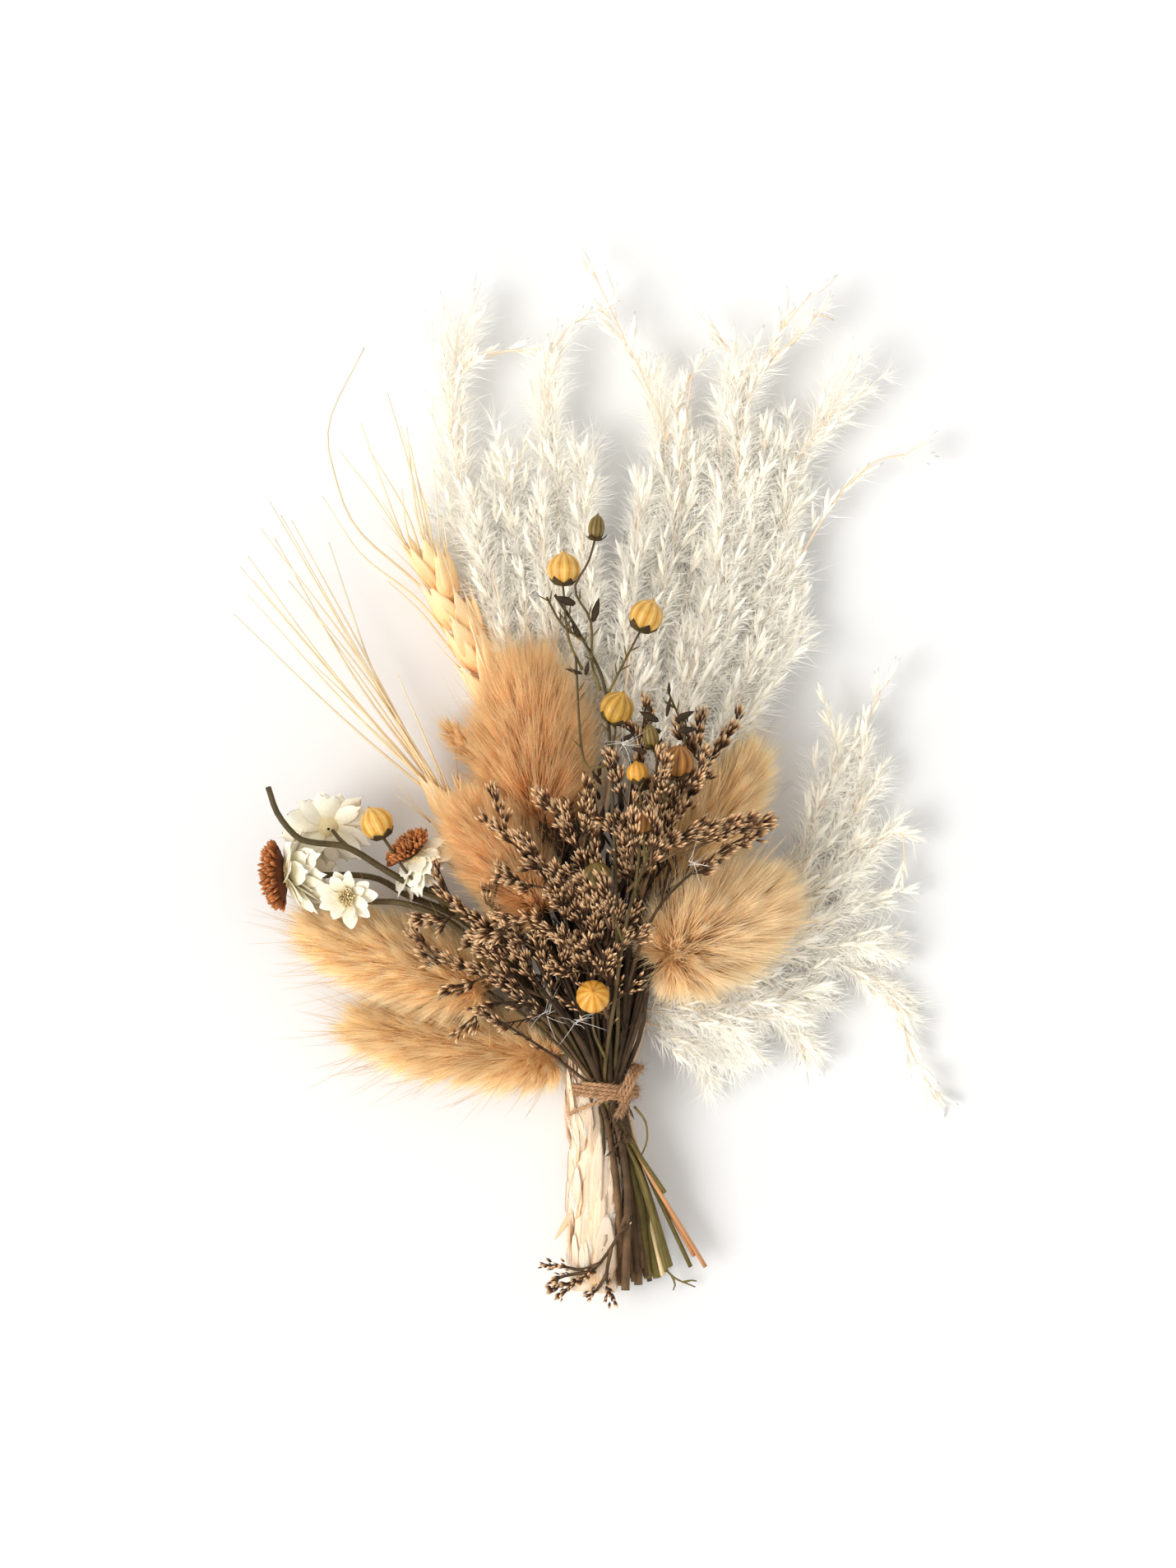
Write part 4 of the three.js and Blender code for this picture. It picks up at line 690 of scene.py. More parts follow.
# %% [markdown]
# ## Plume grass
# A bleached plume is a stem with many fine branchlets that lean forward. Each branchlet carries narrow papery
# spikelets, and each spikelet a spray of silk. The three are made in that order, each from the places that the last
# one left, so the silk grows where it grows on the plant and the haze thins out by itself at the tips.

# %% One frond
SPIKELET = spindle([(0, 0), (0.12, 0.55), (0.38, 1), (0.72, 0.6), (1, 0)], 5, flat=0.7)


SILK_SEATS = np.linspace(0.15, 1, 5)  # shares of a branchlet where silk grows
SILK_HAIRS, SILK_THICK = 19, 0.058  # hairs at each seat, and their radius

def frond(stems, chaff, fluff, route, lush_share, reach, rng, bare, every):
    """Branchlet b leaves at 17 to 38 degrees: origin + way L s + bend s^2. Past the lush share it is short and has
    no silk."""
    path = smooth(route, 70)
    long = length_of(path)
    bare = min(bare, 0.3 * long)
    stalk(stems, route, 0.5, rng.random(), sides=6, taper=0.7, rise=0.4)
    count = max(8, int((long - bare) / every))
    part = (np.arange(count) + rng.random(count)) / count
    lush = np.clip((lush_share - part) / 0.14, 0, 1)
    kept = rng.random(count) < 0.45 + 0.55 * lush
    part, lush = part[kept], lush[kept]
    count = len(part)
    point, way, side, up = stand(path, bare / long + (1 - bare / long) * part)
    out = around(rng.uniform(0, 2 * math.pi, count), side, up, 0.65)
    branch = unit(around(rng.uniform(0.3, 0.66, count), way, out))
    size = reach * (1 - 0.28 * part) * rng.uniform(0.55, 1.15, count) * (0.4 + 0.6 * lush)
    bend = 0.22 * size[:, None] * (way - 0.6 * out + 0.5 * scatter(rng, count))
    s = np.linspace(0, 0.95, 4)
    stems.add(sweep(arc(point, branch, size, bend, s), 0.12 * (1 - 0.5 * s), 3), rng.random(count), 0.8)

    def seats(at):
        """Places at shares at of each branchlet, and the way it points there."""
        ways = np.repeat(unit(branch * size[:, None] + 1.3 * bend), at.shape[1], axis=0)
        return arc(point, branch, size, bend, at).reshape(-1, 3), ways

    at, ways = seats(rng.uniform(0.35, 1, (count, 3)))
    ways = unit(ways + scatter(rng, len(at), 0.3))
    scale = sized(rng, len(at), 0.75, 1.2, [0.6, 5.6, 0.5])
    lay(SPIKELET, at, ways, scatter(rng, len(at)), scale, chaff, rng.random(len(at)))
    at, ways = seats(np.broadcast_to(SILK_SEATS, (count, len(SILK_SEATS))))
    roots, ways = np.repeat(at, SILK_HAIRS, axis=0), np.repeat(ways, SILK_HAIRS, axis=0)
    kept = rng.random(len(roots)) < np.repeat(0.05 + 0.95 * lush, len(SILK_SEATS) * SILK_HAIRS)
    roots, ways = roots[kept], ways[kept]
    n = len(roots)
    hairs(fluff, roots, unit(ways + scatter(rng, n, 0.95)), rng.uniform(3.6, 8, n), scatter(rng, n, 1.3), SILK_THICK,
          rng.random(n))


# %% [markdown]
# Below the tie the grass is squeezed into a shaggy butt: stems wrapped in flat papery sheaths that lie over each
# other and point up the stem. They are thin closed leaves laid on the strands, with a little silk between.

# %% The five plumes
SCALE = spindle([(0, 0.1), (0.06, 0.55), (0.3, 1), (0.62, 0.85), (0.88, 0.4), (1, 0)], 8, flat=0.16)
STRAY_SHEATH = np.array([[-6.6, -13.2, 5.0], [-10.9, -19.8, 3.4]])  # its root and its tip
# The radius of each strand with its sheaths.
BUTT_RADIUS = {"plume_left": 2.7, "plume_middle": 3.5, "plume_right": 2.9, "plume_edge": 3.4, "plume_side": 1.1}


def long_sheaths(stems, rng, count):
    """Broad sheaths over the bundle: their place (x, y) lies at z = 10.8 - 0.13 (x + 2)^2 and tilts with that slope."""
    x, y = rng.uniform(-6.6, 2.2, count), rng.uniform(-31, -13, count)
    at = np.stack([x, y, 10.8 - 0.13 * (x + 2) ** 2], axis=1)
    way = np.stack([0.02 - 0.012 * x, 0 * x + 1, rng.uniform(-0.02, 0.015, count)], axis=1)
    across = np.stack([0 * x + 1, 0 * x, -0.26 * (x + 2)], axis=1)
    size = sized(rng, count, 0.8, 1.15, [2.9, 24.0, 3.2])
    lay(SCALE, at, way + scatter(rng, count, 0.02), across, size, stems, rng.random(count))


def sheathed_butt(stems, fluff, route, radius, rng):
    """Sheaths sit at radius r round the strand, with their flat side out: way = stem way + 0.015 out."""
    path = smooth(route, 120)
    path = path[path[:, 1] < TIE[1] + 7]
    stems.add(sweep(path[None, ::3], radius * 0.98, 18, ridge=0.03, ridges=5), 0.6, 0.55)
    count = int(1.1 * radius / 2.5 * length_of(path))
    point, way, side, up = stand(path, rng.random(count) * 0.97)
    turn = rng.uniform(0, 2 * math.pi, count)
    out, across = around(turn, side, up), around(turn, up, -side)
    squeeze = 0.75 + 0.25 * np.minimum(1, np.abs(point[:, 1:2] - TIE[1]) / 10)
    at = point + out * radius * squeeze * rng.uniform(0.98, 1.05, (count, 1))
    way = unit(way + 0.015 * out + scatter(rng, count, 0.07))
    size = sized(rng, count, 0.6, 1.2, [2.5, 15.0, 0.3])
    lay(SCALE, at, way, across + scatter(rng, count, 0.12), size, stems, rng.random(count))
    n = 55 * count
    pick = rng.integers(0, count, n)
    hairs(fluff, at[pick] + scatter(rng, n, 0.5), unit(way[pick] + scatter(rng, n, 0.2)), rng.uniform(3, 8, n),
          scatter(rng, n, 0.6), 0.05, rng.random(n))


for node, plume, rng in seeded(PLUMES, 40):
    stems, chaff, fluff = Heap(), Heap(), Heap()
    stalk(stems, plume["stem"], 1.0, 0.5, sides=8)
    sheathed_butt(stems, fluff, plume["stem"], BUTT_RADIUS[node], rng)
    bare, every = (7, 1.5) if node == "plume_side" else (16, 1.7)  # a frond's bare foot, and mm to a branchlet
    for lush_share, reach, route in plume["fronds"]:
        frond(stems, chaff, fluff, route, lush_share, reach, rng, bare, every)
    if node == "plume_left":
        lay(SCALE, STRAY_SHEATH[:1], STRAY_SHEATH[1:] - STRAY_SHEATH[:1], np.array([[1.0, 0, 0.2]]), [0.7, 8.5, 0.7],
            stems, 0.4, 0.1)
    if node == "plume_middle":
        long_sheaths(stems, rng, 20)
    make_piece(f"{node}_stems", stems, SHEATH, [node])
    make_piece(f"{node}_spikelets", chaff, CHAFF, [node])
    make_piece(f"{node}_silk", fluff, FLUFF, [node], shade_smooth=False)

# %% [markdown]
# ## Bunny tails
# A bunny tail is an egg of soft bristles. The bristles grow in tufts, one tuft to each spikelet, which is what gives
# the fur its streaks and partings. At the foot they flare out and a little back, and towards the tip they lie along the
# axis. A dark core inside stands for the imported chaff, so that no light comes through; its dark colour, like the dark
# roots of the bristles, is partly painted shade deep in the fur.

# %% Fur
# The fur ramps run dark at the roots and pale at the tips: partly the bristles' own colour, partly painted shade deep
# in the fur. Each fur's last number is its gain, painted light.
FURS = [dry_finish(f"fur_{name}", stops, spread, (90, 0.06), NO_BUMP, painted_light_gain=painted_light_gain) for name, stops, spread, painted_light_gain in (
    ("apricot", [(0, (206, 138, 76)), (0.4, (248, 190, 124)), (1, (255, 234, 188))], 0.26, 1.07),
    ("tan", [(0, (216, 162, 102)), (0.4, (249, 212, 154)), (1, (255, 242, 208))], 0.24, 1.18),
    ("pale", [(0, (198, 144, 90)), (0.4, (248, 210, 154)), (1, (255, 240, 206))], 0.24, 1.09),
)]
FLARE = 1.95  # radians from the axis that bristles lean at the foot
FUR_HEIGHTS = [0, 0.1, 0.3, 0.7, 1]


def head_width(t):
    """sin(pi (0.1 + 0.9 t))^0.55: a blunt foot and a narrower tip."""
    return np.sin(math.pi * np.clip(0.1 + 0.9 * np.asarray(t), 0, 1)) ** 0.55


def fur_head(name, tail, rng):
    """Bristle: root on the core at height t and angle p, leaning from the axis by leans(t), bent to the tip."""
    root, tip = (np.array(end, float) for end in (tail.get("foot", tail["stem"][-1]), tail["tip"]))
    radius = tail["radius"]
    long = np.linalg.norm(tip - root) - 0.7 * radius
    axis = unit(tip - root)
    side, up = sideways(axis, [0.05, 0, 1])
    heap = Heap()
    profile = [(t, 0.48 * float(head_width(t))) for t in np.linspace(0, 1, 12)]
    profile[0], profile[-1] = (0, 0), (1, 0)
    lay(spindle(profile, 16), root[None], axis[None], side[None], [radius, long, radius], heap, 0.3, 0.1)
    flare = tail.get("flare", FLARE)
    leans = [flare, 0.72 * flare, 0.5 * flare, 0.82, 0.42]
    tufts = int(15 * radius)
    tuft_t = (np.arange(tufts) + 0.5) / tufts * 0.98
    tuft_turn = np.arange(tufts) * GOLDEN_ANGLE + rng.normal(0, 0.15, tufts)
    tuft_lean = np.interp(tuft_t, FUR_HEIGHTS, leans) + rng.normal(0, 0.12, tufts)
    tuft_tone = rng.uniform(0.1, 0.9, tufts)

    def seat_at(t, turn):
        """The place at height t and angle turn on the core, and the way out from the axis."""
        out = around(turn, side, up)
        return root + axis * (t * long)[:, None] + out * (0.4 * radius * head_width(t))[:, None], out

    tuft_seat, tuft_out = seat_at(tuft_t, tuft_turn)
    reach = radius * np.interp(tuft_t, [0, 0.15, 0.6, 1], [0.72, 0.98, 0.96, 0.8])
    tuft_way = unit(around(tuft_lean, axis, tuft_out) + scatter(rng, tufts, 0.16))
    tuft_end = tuft_seat + tuft_way * reach[:, None]
    n = tail["hairs"]
    pick = rng.integers(0, tufts, n)
    t = np.clip(tuft_t[pick] + rng.normal(0, 0.02, n), 0, 1)
    seat, out = seat_at(t, tuft_turn[pick] + rng.normal(0, 0.22, n))
    lean = np.interp(t, FUR_HEIGHTS, leans) + rng.normal(0, 0.16, n)
    free = unit(around(lean, axis, out) + scatter(rng, n, 0.14))
    drawn = unit(tuft_end[pick] + scatter(rng, n, 0.09 * radius) - seat)
    way = np.where(rng.random((n, 1)) < 0.55, drawn, free)
    size = reach[pick] * rng.uniform(0.6, 1.2, n)
    bend = size[:, None] * (0.2 * axis - 0.1 * out + scatter(rng, n, 0.09))
    tone = 0.6 * tuft_tone[pick] + 0.4 * rng.random(n)
    hairs(heap, seat, way, size, bend, 0.066, tone)
    loose = rng.integers(0, n, n // 40)
    stray = unit(way[loose] + scatter(rng, len(loose), 0.4) + 0.25 * axis)
    long_ones = radius < 10 and tail["fur"] == 1
    most, thick, shade, rise = (2.4, 0.075, 0.1, (0, 0.3)) if long_ones else (2.0, 0.055, 0.35, (0.1, 0.6))
    threads(heap, seat[loose], stray, size[loose] * rng.uniform(1.15, most, len(loose)), bend[loose] * 2, thick,
            shade, rise)
    make_piece(f"{name}_fur", heap, FURS[tail["fur"]], [name], shade_smooth=False)
    stem = Heap()
    stalk(stem, tail["stem"], 0.48, rng.random(), sides=7, ridge=0.05)
    make_piece(f"{name}_stem", stem, ORANGE_STRAW if "foot" in tail else GREEN, [name])


for name, tail, rng in seeded(TAILS, 70):
    fur_head(name, tail, rng)

# %% [markdown]
# ## Wheat
# A bearded ear has two ranks of spikelets up a zigzag stem. Each spikelet is three plump husks, boat-shaped with a
# keel, and each outer husk runs out into a long stiff awn. The husk is one small closed shape laid many times.

# %% Husks, ears and awns
HUSK = spindle([(0, 0.25), (0.06, 0.6), (0.2, 0.95), (0.36, 1), (0.52, 0.8), (0.68, 0.45), (0.85, 0.14), (1, 0)], 12,
               flat=0.55)
HUSK[0][0, :, 2] += 0.25 * HUSK[0][0, :, 1] ** 2 - 0.22 * HUSK[0][0, :, 0] ** 2


HUSK_SIZE = np.array([3.0, 16.5, 2.5])
EAR_NODES, AWN_POINTS, AWN_RADIUS = 7, 18, 0.27

def ear_of(name, wheat, rng):
    """Husk h of spikelet k: out = (left or right) cos(turn h) side + sin(turn h) up, and it leans out from the ear."""
    straw, husks, awns = Heap(), Heap(), Heap()
    stalk(straw, wheat["stem"], 0.5, 0.5, sides=9, ridge=0.03, taper=0.1)
    path = smooth(wheat["ear"], 60)
    nodes = EAR_NODES
    point, way, side, up = stand(path, np.linspace(0, 0.86, nodes))
    left = np.where(np.arange(nodes) % 2, 1.0, -1.0)[:, None]
    seats, ways, acrosses, sizes, tones = [], [], [], [], []
    for turn, scale in ((-0.8, 0.95), (0.1, 1.0), (0.75, 1.0), (1.35, 0.9)):
        out = unit(left * math.cos(turn) * side + math.sin(turn) * up)
        seats.append(point + out * 1.7 + way * rng.normal(0, 0.9, (nodes, 1)))
        ways.append(unit(way + 0.27 * out + scatter(rng, nodes, 0.1)))
        acrosses.append(np.cross(out, way) + scatter(rng, nodes, 0.25))
        taper = np.linspace(1.0, 0.85, nodes)[:, None]
        sizes.append(scale * taper * rng.uniform(0.92, 1.08, (nodes, 1)) * HUSK_SIZE)
        tones.append(rng.uniform(0.2, 0.9, nodes))
    seats, ways, sizes = np.vstack(seats), np.vstack(ways), np.vstack(sizes)
    lay(HUSK, seats, ways, np.vstack(acrosses), sizes, husks, np.concatenate(tones))
    ends = seats + ways * sizes[:, 1:2] * 0.93
    runs = np.stack([smooth(route, AWN_POINTS) for route in wheat["awns"]])
    thin = AWN_RADIUS * (1 - 0.6 * np.linspace(0, 1, AWN_POINTS))
    awns.add(sweep(runs, thin, 4, ridge=0.2, ridges=4), rng.random(len(runs)))
    n = 14
    short = rng.integers(0, len(ends), n)
    stub = unit(ways[short] + scatter(rng, n, 0.15))
    threads(awns, ends[short] - ways[short], stub, rng.uniform(6, 16, n), scatter(rng, n, 1.0), 0.2, 0.7)
    make_piece(f"{name}_straw", straw, ORANGE_STRAW if name == "wheat_ear_1" else AWN, [name])
    make_piece(f"{name}_husks", husks, STRAW, [name])
    make_piece(f"{name}_awns", awns, AWN, [name])


for name, wheat, rng in seeded(WHEAT, 90):
    ear_of(name, wheat, rng)

# %% [markdown]
# ## Sea lavender
# Sea lavender is a dark wiry stem whose upper part carries short twigs on one side, thick with tiny spindle florets:
# a brown striped calyx with a pinkish cream tip. The florets make most of the look, so there are very many, each
# of a few faces, and rise on a floret paints calyx and tip.

# %% Sprays
FLORET_SHAPE = spindle([(0, 0.35), (0.2, 0.8), (0.5, 1), (0.8, 0.75), (1, 0)], 4)
BARE_BELOW = 27.0  # mm from the tie; nearer than this few florets are left
WISPS = np.array([[4.6, 90.6, 38.5], [19, 64, 35], [-6.4, 29, 31], [-12.8, 31, 26]])  # loose plume silk caught here
DRY_LEAF = spindle([(0, 0.2), (0.3, 0.9), (0.65, 0.7), (1, 0)], 5, flat=0.3)


def bloom_run(twigs, florets, path, rng, comb, first, every=1.9, reach=3.6, many=9, long=2.9):
    """Twig b leaves by 26 to 54 degrees on the comb side and upwards; a close fan of florets points on from its end.
    Near the tie few are left."""
    count = max(3, int(length_of(path) * (1 - first) / every))
    part = first + (1 - first) * (np.arange(count) + rng.random(count)) / count
    point, way, side, up = stand(path, part * 0.97)
    out = around(rng.normal(0.9, 0.75, count), comb * side, up)
    twig = unit(around(rng.uniform(0.45, 0.95, count), way, out))
    size = reach * rng.uniform(0.6, 1.15, count) * np.interp(part, [0, 0.8, 1], [1, 0.8, 0.35])
    s = np.array([0, 0.5, 0.95])
    straight = np.zeros((count, 3))
    twigs.add(sweep(arc(point, twig, size, straight, s), 0.2 * (1 - 0.4 * s), 4), rng.random(count), 0.6)
    seats = arc(point, twig, size, straight, rng.uniform(0.3, 1.0, (count, many))).reshape(-1, 3)
    ahead = unit(0.4 * twig + 0.8 * way + 0.1 * up)
    spread = np.linspace(-0.32, 0.32, many)[None, :, None] * unit(np.cross(ahead, up))[:, None]
    fan = unit((ahead[:, None] + spread).reshape(-1, 3) + scatter(rng, len(seats), 0.2))
    seats = seats + 0.5 * scatter(rng, len(seats)) + 1.2 * spread.reshape(-1, 3)
    away = np.linalg.norm(seats - TIE, axis=1)
    kept = rng.random(len(seats)) < np.clip((away - BARE_BELOW) / 16, 0.04, 1)
    seats, fan = seats[kept], fan[kept]
    scale = sized(rng, len(seats), 0.75, 1.2, [0.28, long, 0.28])
    lay(FLORET_SHAPE, seats, fan, scatter(rng, len(seats)), scale, florets, rng.random(len(seats)))


def spray(twigs, florets, route, rng, radius, comb, bloom, offshoots, one_sided):
    """The stem, its blooming end, and offshoots that leave it by about 40 degrees and bloom too."""
    path = smooth(route, 90)
    long = length_of(path)
    path = path[: int(90 * (1 - 1.4 / long))]
    stalk(twigs, path[::6], radius, rng.random(), sides=8, taper=0.7, ridge=0.06)
    first = max(0.1, 1 - bloom / long)
    bloom_run(twigs, florets, path, rng, comb, first)
    part = np.linspace(max(0.05, first - 0.12), 0.86, offshoots)
    point, way, side, up = stand(path, part)
    for i in range(offshoots):
        hand = comb if i % 2 == 0 or one_sided else -comb
        size = rng.uniform(8, 13) * (1 - 0.4 * (part[i] - first))
        away = unit(way[i] + 0.75 * hand * side[i] + 0.25 * up[i])
        end = point[i] + away * size
        twig = [point[i], point[i] + away * size * 0.5 - way[i] * 0.3, end + way[i] * 1.5]
        stalk(twigs, twig, 0.3, rng.random(), sides=5, taper=0.5, steps=1.2)
        bloom_run(twigs, florets, smooth(twig, 20), rng, hand, 0.3, every=1.4, reach=2.8)


def fanned(rng, b, long, foot_x, foot_y, foot_z, climb):
    """Feet in the tie, and ends that leave them at angle b: end = foot + (L sin b, L cos b, climb)."""
    foot = np.stack([foot_x, 0 * b + foot_y, rng.uniform(*foot_z, len(b))], axis=1)
    return foot, foot + np.stack([long * np.sin(b), long * np.cos(b), rng.uniform(*climb, len(b))], axis=1)

def under_stems_and_shade(rng, count):
    """Bare dark stems under the florets, partly painted shade that darkens the gaps below them: from the tie by angle
    b, out by L (sin b, cos b), and up to z.
    """
    b = np.linspace(-0.54, 0.34, count) + rng.normal(0, 0.04, count)
    long = rng.uniform(34, 78, count) * (1 - 0.75 * np.abs(b))
    foot, end = fanned(rng, b, long, 1.4 + 3 * np.sin(b), 13.0, (10, 15), (8, 15))
    middle = (foot + end) / 2 + np.stack([rng.normal(0, 1.2, count), 0 * b, 0 * b + 2], axis=1)
    return np.stack([foot, middle, end], axis=1)


def dry_bits_and_shade(rng, twigs, count):
    """Dark withered leaves among the stems, partly painted shade that darkens the gaps: at angle b and distance L from
    the tie, between the stems and florets.
    """
    b = rng.uniform(-0.5, 0.3, count)
    away = rng.uniform(10, 72, count) * (1 - 0.7 * np.abs(b))
    at = np.stack([1 + away * np.sin(b), 13 + away * np.cos(b), rng.uniform(12, 17, count) + 0.2 * away], axis=1)
    way = np.stack([np.sin(b), np.cos(b), 0.2 + 0 * b], axis=1) + scatter(rng, count, 0.6)
    size = sized(rng, count, 0.6, 1.3, [0.8, 5.0, 0.8])
    lay(DRY_LEAF, at, way, scatter(rng, count), size, twigs, 0.6 * rng.random(count), 1.0)


def cut_stems(rng, count):
    """More stem ends between the thick ones: straight from the tie down and right to where they were cut."""
    top = np.stack([rng.uniform(1.0, 5.5, count), np.full(count, 13.0), rng.uniform(7, 13, count)], axis=1)
    low = np.stack([rng.uniform(3.6, 11, count), rng.uniform(-30, -26, count), rng.uniform(3, 9, count)], axis=1)
    middle = (top + low) / 2 + rng.normal(0, 0.5, (count, 3))
    return np.stack([low, middle, top], axis=1)


def low_sprigs(rng, count):
    """Short sprigs that fill the fan over the tie: from the tie by angle b, out by L (sin b, cos b), and up to z."""
    b = np.linspace(-0.9, 0.2, count) + rng.normal(0, 0.05, count)
    long = rng.uniform(24, 46, count)
    foot, end = fanned(rng, b, long, 2.5 * np.sin(b), 14.0, (13, 16), (6, 13))
    middle = (foot + end) / 2 + np.stack([-1.5 * np.sin(b), 0 * b, 0 * b + 1.5], axis=1)
    return np.stack([foot, middle, end], axis=1)


for name, routes, rng in seeded(LAVENDER, 110):
    twigs, florets = Heap(), Heap()
    on_right = name == "sea_lavender_right"
    for i, route in enumerate(routes):
        lone = on_right and i == 1  # the spike that points right has no offshoots and blooms at its end
        comb = 1.0 if i % 2 and (lone or not on_right) else -1.0
        bloom, offshoots = (22, 0) if lone else (34, 5 if i == 0 else 3)
        spray(twigs, florets, route, rng, 0.95 if i == 0 else 0.5, comb, bloom, offshoots, on_right)
    for route in {"sea_lavender_middle": OVER_PODS, "sea_lavender_right": BESIDE_SPIKE}.get(name, []):
        stalk(twigs, route, 0.35, rng.random(), sides=6, taper=0.5, steps=1.5)
        bloom_run(twigs, florets, smooth(route, 40), rng, rng.choice([-1.0, 1.0]), 0.3, every=1.6, reach=2.4)
    if name == "sea_lavender_middle":
        for route in low_sprigs(rng, 9):
            stalk(twigs, route, 0.42, rng.random(), sides=6, taper=0.5)
            bloom_run(twigs, florets, smooth(route, 60), rng, rng.choice([-1.0, 1.0]), 0.5, reach=3.0)
        for route in FOOT_TWIGS:
            stalk(twigs, route, 0.5, 0.3, sides=7, taper=0.5, steps=1.2)
            bloom_run(twigs, florets, smooth(route, 40), rng, 1.0, 0.5, every=1.0, reach=1.5, many=4, long=1.6)
        # dark leaves at the darkest end of the twig colour: partly painted shade between the stems and florets
        dry_bits_and_shade(rng, twigs, 520)
        n = 70  # more dry bits, below the tie
        lay(DRY_LEAF, rng.uniform([1.5, 0, 11], [5.6, 11, 16.5], (n, 3)), scatter(rng, n) * [0.35, 1, 0.15],
            scatter(rng, n), sized(rng, n, 0.6, 1.2, [0.5, 2.8, 0.5]), twigs, rng.random(n), 0.3)
        # bare stems made dark by a low tone: partly painted shade under the florets
        for route in under_stems_and_shade(rng, 62):
            stalk(twigs, route, rng.uniform(0.4, 0.8), rng.uniform(0, 0.5), sides=6, taper=0.5, steps=4, rise=0.5)
        for route in cut_stems(rng, 13):
            stalk(twigs, route, rng.uniform(0.4, 0.75), rng.random(), sides=7, taper=0.2, ridge=0.1, rise=0.3)
        caught = Heap()
        for place in WISPS:
            threads(caught, place + scatter(rng, 9, 0.8), unit(scatter(rng, 9) * [1, 1, 0.3] + [0.5, 0.3, 0]),
                    rng.uniform(3, 7, 9), scatter(rng, 9, 2.5), 0.05, 0.9)
        make_piece(f"{name}_wisps", caught, FLUFF, [name], shade_smooth=False)
    make_piece(f"{name}_stems", twigs, TWIG, [name])
    make_piece(f"{name}_florets", florets, FLORET, [name])

# %% [markdown]
# ## Flax
# A ripe flax capsule is a small round lantern of ten segments that meet in a point. Its surface is one formula in
# two angles, with a shallow groove at each seam, and rise holds how far a spot is from its seam, so that the ramp can
# paint brown seams and paler ribs. Five dry sepals cup its foot.

# %% Capsules
# The brown and olive looks are darker capsules, and on pods 6 and 7 partly painted shade.
POD_LOOKS = {
    "straw": [(0, (150, 90, 28)), (0.3, (206, 144, 56)), (0.75, (230, 178, 86)), (1, (243, 206, 128))],
    "green": [(0, (98, 66, 20)), (0.3, (160, 114, 38)), (0.75, (196, 148, 58)), (1, (216, 172, 84))],
    "orange": [(0, (140, 74, 18)), (0.3, (206, 132, 40)), (0.75, (230, 164, 62)), (1, (242, 192, 98))],
    "brown": [(0, (74, 42, 16)), (0.4, (128, 78, 30)), (0.8, (176, 118, 50)), (1, (206, 148, 76))],
    "olive": [(0, (52, 38, 18)), (0.4, (96, 76, 34)), (0.8, (132, 108, 52)), (1, (152, 128, 66))],
}
POD_FINISHES = {look: dry_finish(f"capsule_{look}", stops, 0.08, (500, 0.16), (1800, 0.3), rough=0.45, coat=0.15)
                for look, stops in POD_LOOKS.items()}
SEPAL = dry_finish("flax_sepal", [(0, (92, 78, 42)), (1, (66, 50, 30))], 0.3, (500, 0.3), (1800, 0.5), rough=0.7)
SEPAL_SHAPE = spindle([(0, 0.3), (0.1, 0.6), (0.4, 1), (0.75, 0.6), (1, 0)], 8, flat=0.22)


def capsule(radius):
    """Polar angle q, turn a: width R sin q (1 - 0.03 |cos 5a|^16), which is ten grooves, and height 0.95 R cos q +
    0.14 R exp(-(q / 0.16)^2), which is a beak at q = 0."""
    rings, around = 22, 60
    q = np.linspace(0, math.pi, rings + 2)[1:-1]
    a = np.arange(around) / around * 2 * math.pi
    seam = np.abs(np.cos(5 * a)) ** 16
    wide = radius * np.sin(q)[:, None] * (1 - 0.03 * seam)
    beak = 0.14 * radius * np.exp(-((q / 0.16) ** 2))
    high = (0.95 * radius * np.cos(q) + beak)[:, None] * np.ones(around)
    ring = np.stack([wide * np.cos(a), high, wide * np.sin(a)], axis=-1)[::-1]
    shape = sweep(np.zeros((1, rings, 3)) + np.linspace(0, 1, rings)[:, None] * [0, 1, 0], 1.0, around)
    corners = shape[0].copy()
    corners[0, : rings * around] = ring.reshape(-1, 3)
    corners[0, -2], corners[0, -1] = [0, -0.95 * radius, 0], [0, 1.16 * radius, 0]
    pale = 0.75 * (1 - seam) + 0.25 * (np.cos(20 * a) > 0)
    rise = np.r_[np.tile(pale, rings), 0.2, 0.05]
    return corners, shape[1][:, ::-1], shape[2][:, ::-1], rise


def sepals(heap, at, axis, radius, rng):
    """Five leaflets on the shell: at polar angle f = 1.15 y from the foot, R (1.03 + 0.3 z) (sin f out - 0.97 cos f
    axis) + 0.42 R x across."""
    side, up = sideways(axis, [0.3, 0.2, 1])
    turn = np.arange(5) / 5 * 2 * math.pi + rng.normal(0, 0.1, 5)
    out, across = around(turn, side, up)[:, None], around(turn, up, -side)[:, None]
    corners, quads, tris, own = SEPAL_SHAPE
    x, y, z = (corners[0, :, i][:, None] for i in range(3))
    f = 1.15 * y * rng.uniform(0.8, 1.15, (5, 1, 1))
    ball = radius * (1.03 + 0.3 * z) * (np.sin(f) * out - 0.97 * np.cos(f) * axis)
    placed = at + ball + 0.42 * radius * x * across
    heap.add((placed, quads, tris, own), rng.random(5))


